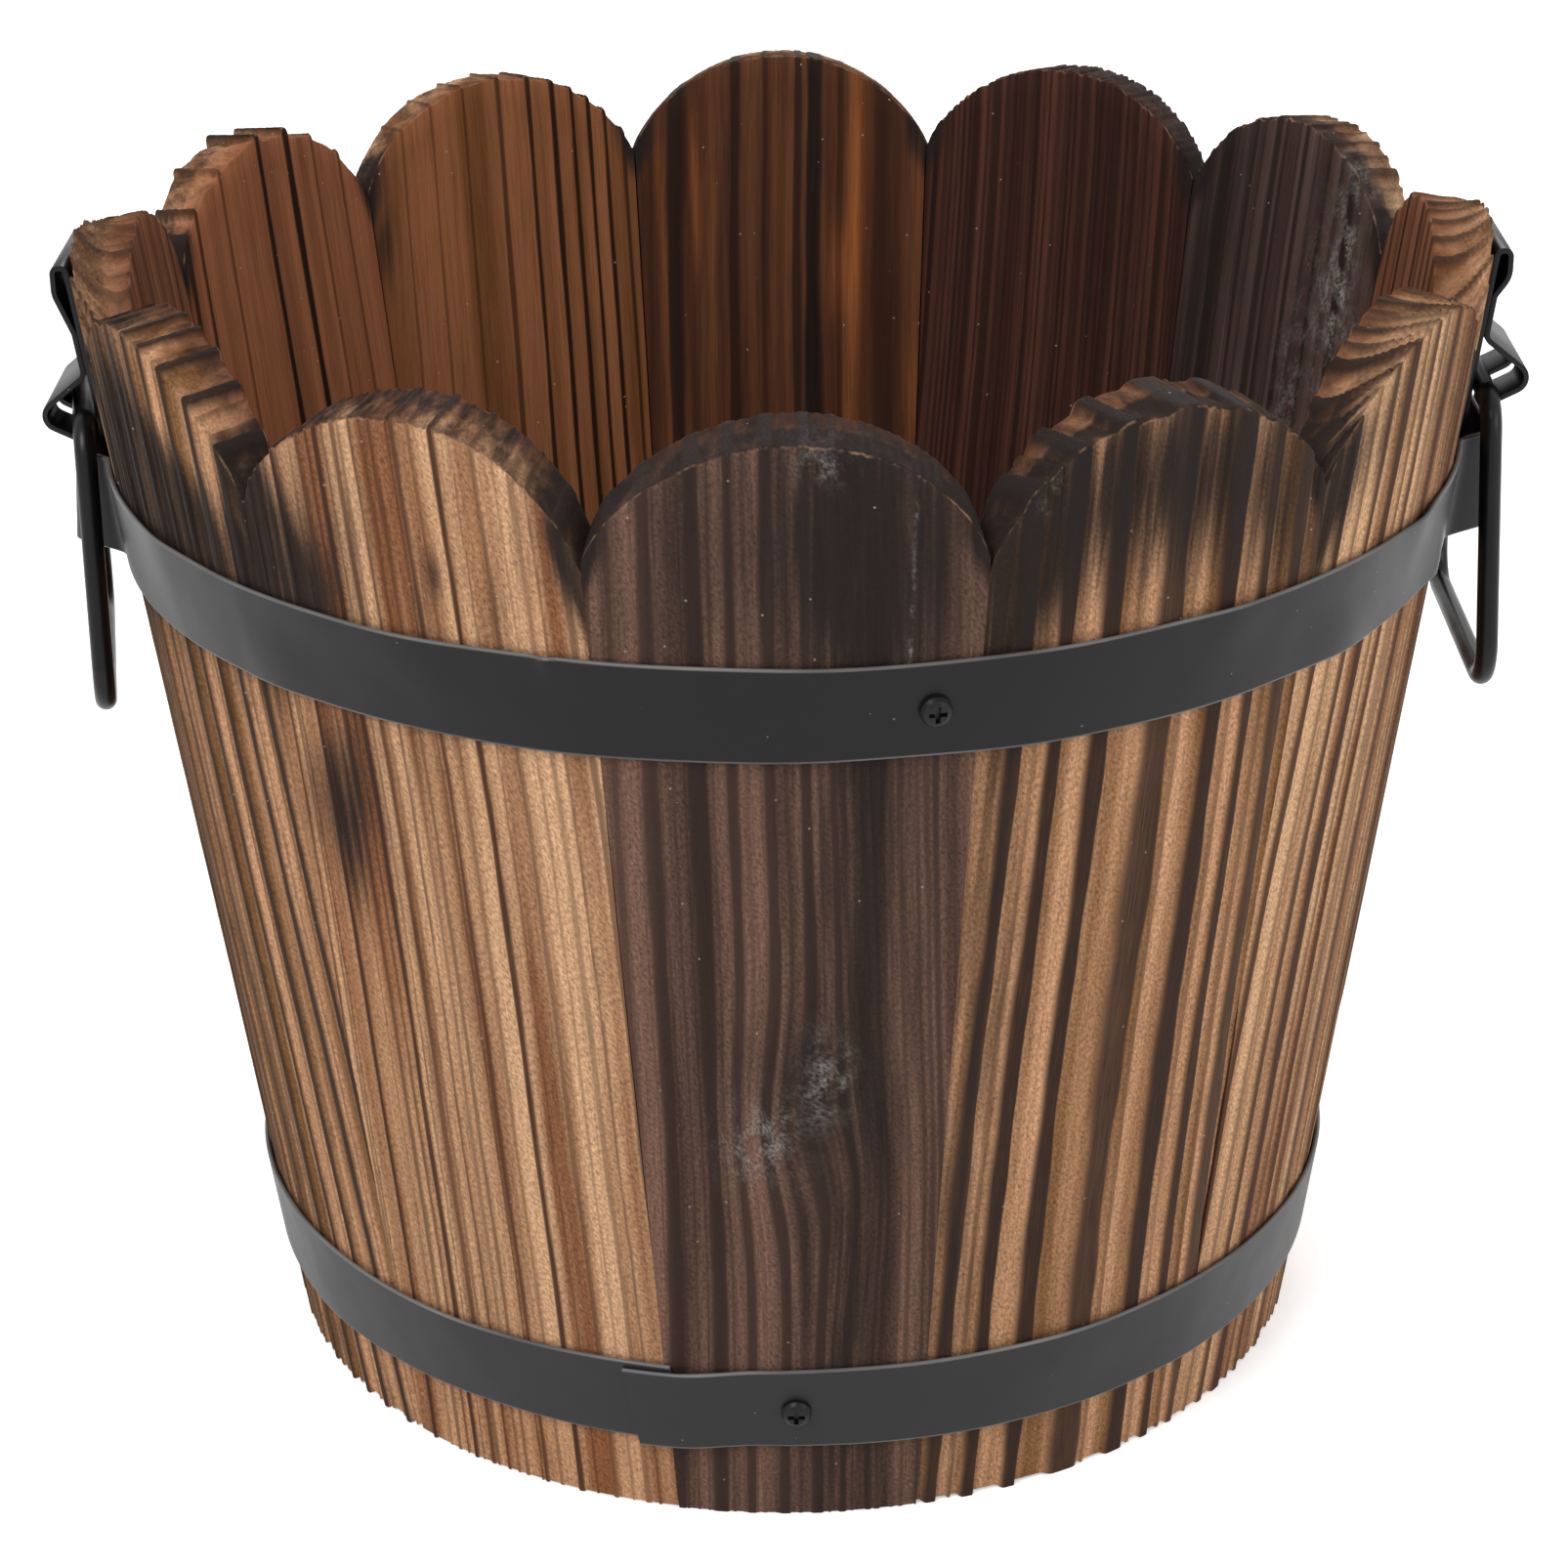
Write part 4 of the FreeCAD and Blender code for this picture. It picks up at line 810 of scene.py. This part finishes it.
def ease_strip(node, material):
    """A piece of steel strip, as its solid is, with its cut edges rounded."""
    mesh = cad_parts[node].data.copy()
    piece = bpy.data.objects.new(f"eased_{node}", mesh)
    bpy.context.scene.collection.objects.link(piece)
    bpy.ops.object.select_all(action="DESELECT")
    piece.select_set(True)
    bpy.context.view_layer.objects.active = piece
    mesh.materials.clear()
    mesh.materials.append(material)
    bpy.ops.object.mode_set(mode="EDIT")
    bpy.ops.mesh.select_all(action="SELECT")
    bpy.ops.mesh.remove_doubles(threshold=WELD_DISTANCE)
    bpy.ops.mesh.dissolve_limited(angle_limit=math.radians(FLAT_ANGLE))
    bpy.ops.object.mode_set(mode="OBJECT")
    bevel = piece.modifiers.new("edges", "BEVEL")
    bevel.width = STRIP_EDGE
    bevel.segments = EDGE_STEPS
    bevel.limit_method = "ANGLE"
    bevel.angle_limit = math.radians(SHARP_ANGLE)
    bpy.ops.object.modifier_apply(modifier=bevel.name)
    bpy.ops.object.shade_smooth_by_angle(angle=math.radians(STRAP_SMOOTH))
    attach(piece, "tub")
    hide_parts(node)


def make_floor():
    """A white floor that keeps the shadow of the pot and meets a white backdrop."""
    bpy.ops.object.select_all(action="DESELECT")
    bpy.ops.mesh.primitive_plane_add(size=FLOOR_SIDE)
    floor = bpy.context.object
    floor.name = "floor"
    material, tree, shader = new_material("white paper")
    shader.inputs["Base Color"].default_value = PAPER_WHITE
    shader.inputs["Roughness"].default_value = PAPER_ROUGHNESS
    shader.inputs["Specular IOR Level"].default_value = 0.0
    shader.inputs["Emission Color"].default_value = (1, 1, 1, 1)
    # It is bright all round the pot, but dark under it, as the gaps between the base boards show.
    place = add_node(tree, "ShaderNodeTexCoord")
    away = add_node(tree, "ShaderNodeVectorMath", {"operation": "LENGTH"}, {0: place.outputs["Object"]})
    bright = add_node(tree, "ShaderNodeMapRange",
                      {"From Min": BASE_RADIUS - BOARD, "From Max": BASE_RADIUS, "To Max": FLOOR_GLOW},
                      {"Value": away.outputs["Value"]})
    glow = add_node(tree, "ShaderNodeMath", {"operation": "MULTIPLY"},
                    {0: bright.outputs[0], 1: seen_directly(tree)})
    tree.links.new(glow.outputs[0], shader.inputs["Emission Strength"])
    floor.data.materials.append(material)


def seen_directly(tree):
    """1 where the eye sees a surface itself or by a mirror or glass, 0 where it only lights others."""
    path = add_node(tree, "ShaderNodeLightPath")
    mirrored = add_node(tree, "ShaderNodeMath", {"operation": "MAXIMUM"},
                        {0: path.outputs["Is Glossy Ray"], 1: path.outputs["Is Transmission Ray"]})
    seen = add_node(tree, "ShaderNodeMath", {"operation": "MAXIMUM"},
                    {0: path.outputs["Is Camera Ray"], 1: mirrored.outputs[0]})
    return seen.outputs[0]


def light_stage():
    """A white world for the eye and for gloss, dimmer as a lamp, and large soft lamps."""
    world = bpy.data.worlds.new("studio")
    bpy.context.scene.world = world
    world.use_nodes = True
    tree = world.node_tree
    tree.nodes.clear()
    strength = add_node(tree, "ShaderNodeMapRange", {"To Min": WORLD_LIGHT, "To Max": 1.0},
                        {"Value": seen_directly(tree)})
    shade = add_node(tree, "ShaderNodeBackground", {"Color": (1, 1, 1, 1)},
                     {"Strength": strength.outputs[0]})
    add_node(tree, "ShaderNodeOutputWorld", links={"Surface": shade.outputs[0]})
    for name, place, width, power in LAMPS:
        data = bpy.data.lights.new(name, "AREA")
        data.shape = "DISK"
        data.size = width
        data.energy = power
        lamp = bpy.data.objects.new(name, data)
        bpy.context.scene.collection.objects.link(lamp)
        lamp.location = place
        aim = Vector(LAMP_AIM) - Vector(place)
        lamp.rotation_euler = aim.to_track_quat("-Z", "Y").to_euler()


def place_camera():
    """The photograph's view: a long lens, from the front and above, hardly rolled."""
    data = bpy.data.cameras.new("camera")
    camera = bpy.data.objects.new("camera", data)
    bpy.context.scene.collection.objects.link(camera)
    data.sensor_width = SENSOR_WIDTH
    data.lens = FOCAL_LENGTH / PHOTO_SIDE * SENSOR_WIDTH
    data.shift_x = -AXIS_SHIFT / PHOTO_SIDE
    data.shift_y = AXIS_SHIFT / PHOTO_SIDE
    pitch = Matrix.Rotation(math.radians(90 - CAMERA_PITCH), 4, "X")
    roll = Matrix.Rotation(math.radians(CAMERA_ROLL), 4, "Z")
    camera.matrix_world = Matrix.Translation(CAMERA_PLACE) @ pitch @ roll
    bpy.context.scene.camera = camera


bpy.context.scene.view_settings.view_transform = "Standard"
for number, look in STAVE_LOOKS.items():
    make_stave(number, brushed_fir(f"brushed fir {number:02d}", look))
strip_paint = black_paint("satin black paint", "#080809", 0.36)
make_band("upper_band", strip_paint)
# Painted reflection: the lower band is painted a lighter black than the upper band, for the bright floor
# that it mirrors.
make_band("lower_band", black_paint("black paint lightened as painted reflection", "#262628", 0.42))
for node in ("left_handle_strap", "right_handle_strap"):
    ease_strip(node, strip_paint)
dress(black_paint("black wire paint", "#0C0C0D", 0.32), "left_bail", "right_bail")
dress(black_paint("black screw", "#121212", 0.36), "upper_band_screws", "lower_band_screws",
      "left_strap_screw", "right_strap_screw")
dress(black_paint("nail steel", "#4A4A4C", 0.45), "base_nails")
dress(sawn_board("sawn fir"), "base_board_left", "base_board_middle", "base_board_right")
make_floor()
light_stage()
place_camera()

bpy.context.view_layer.update()
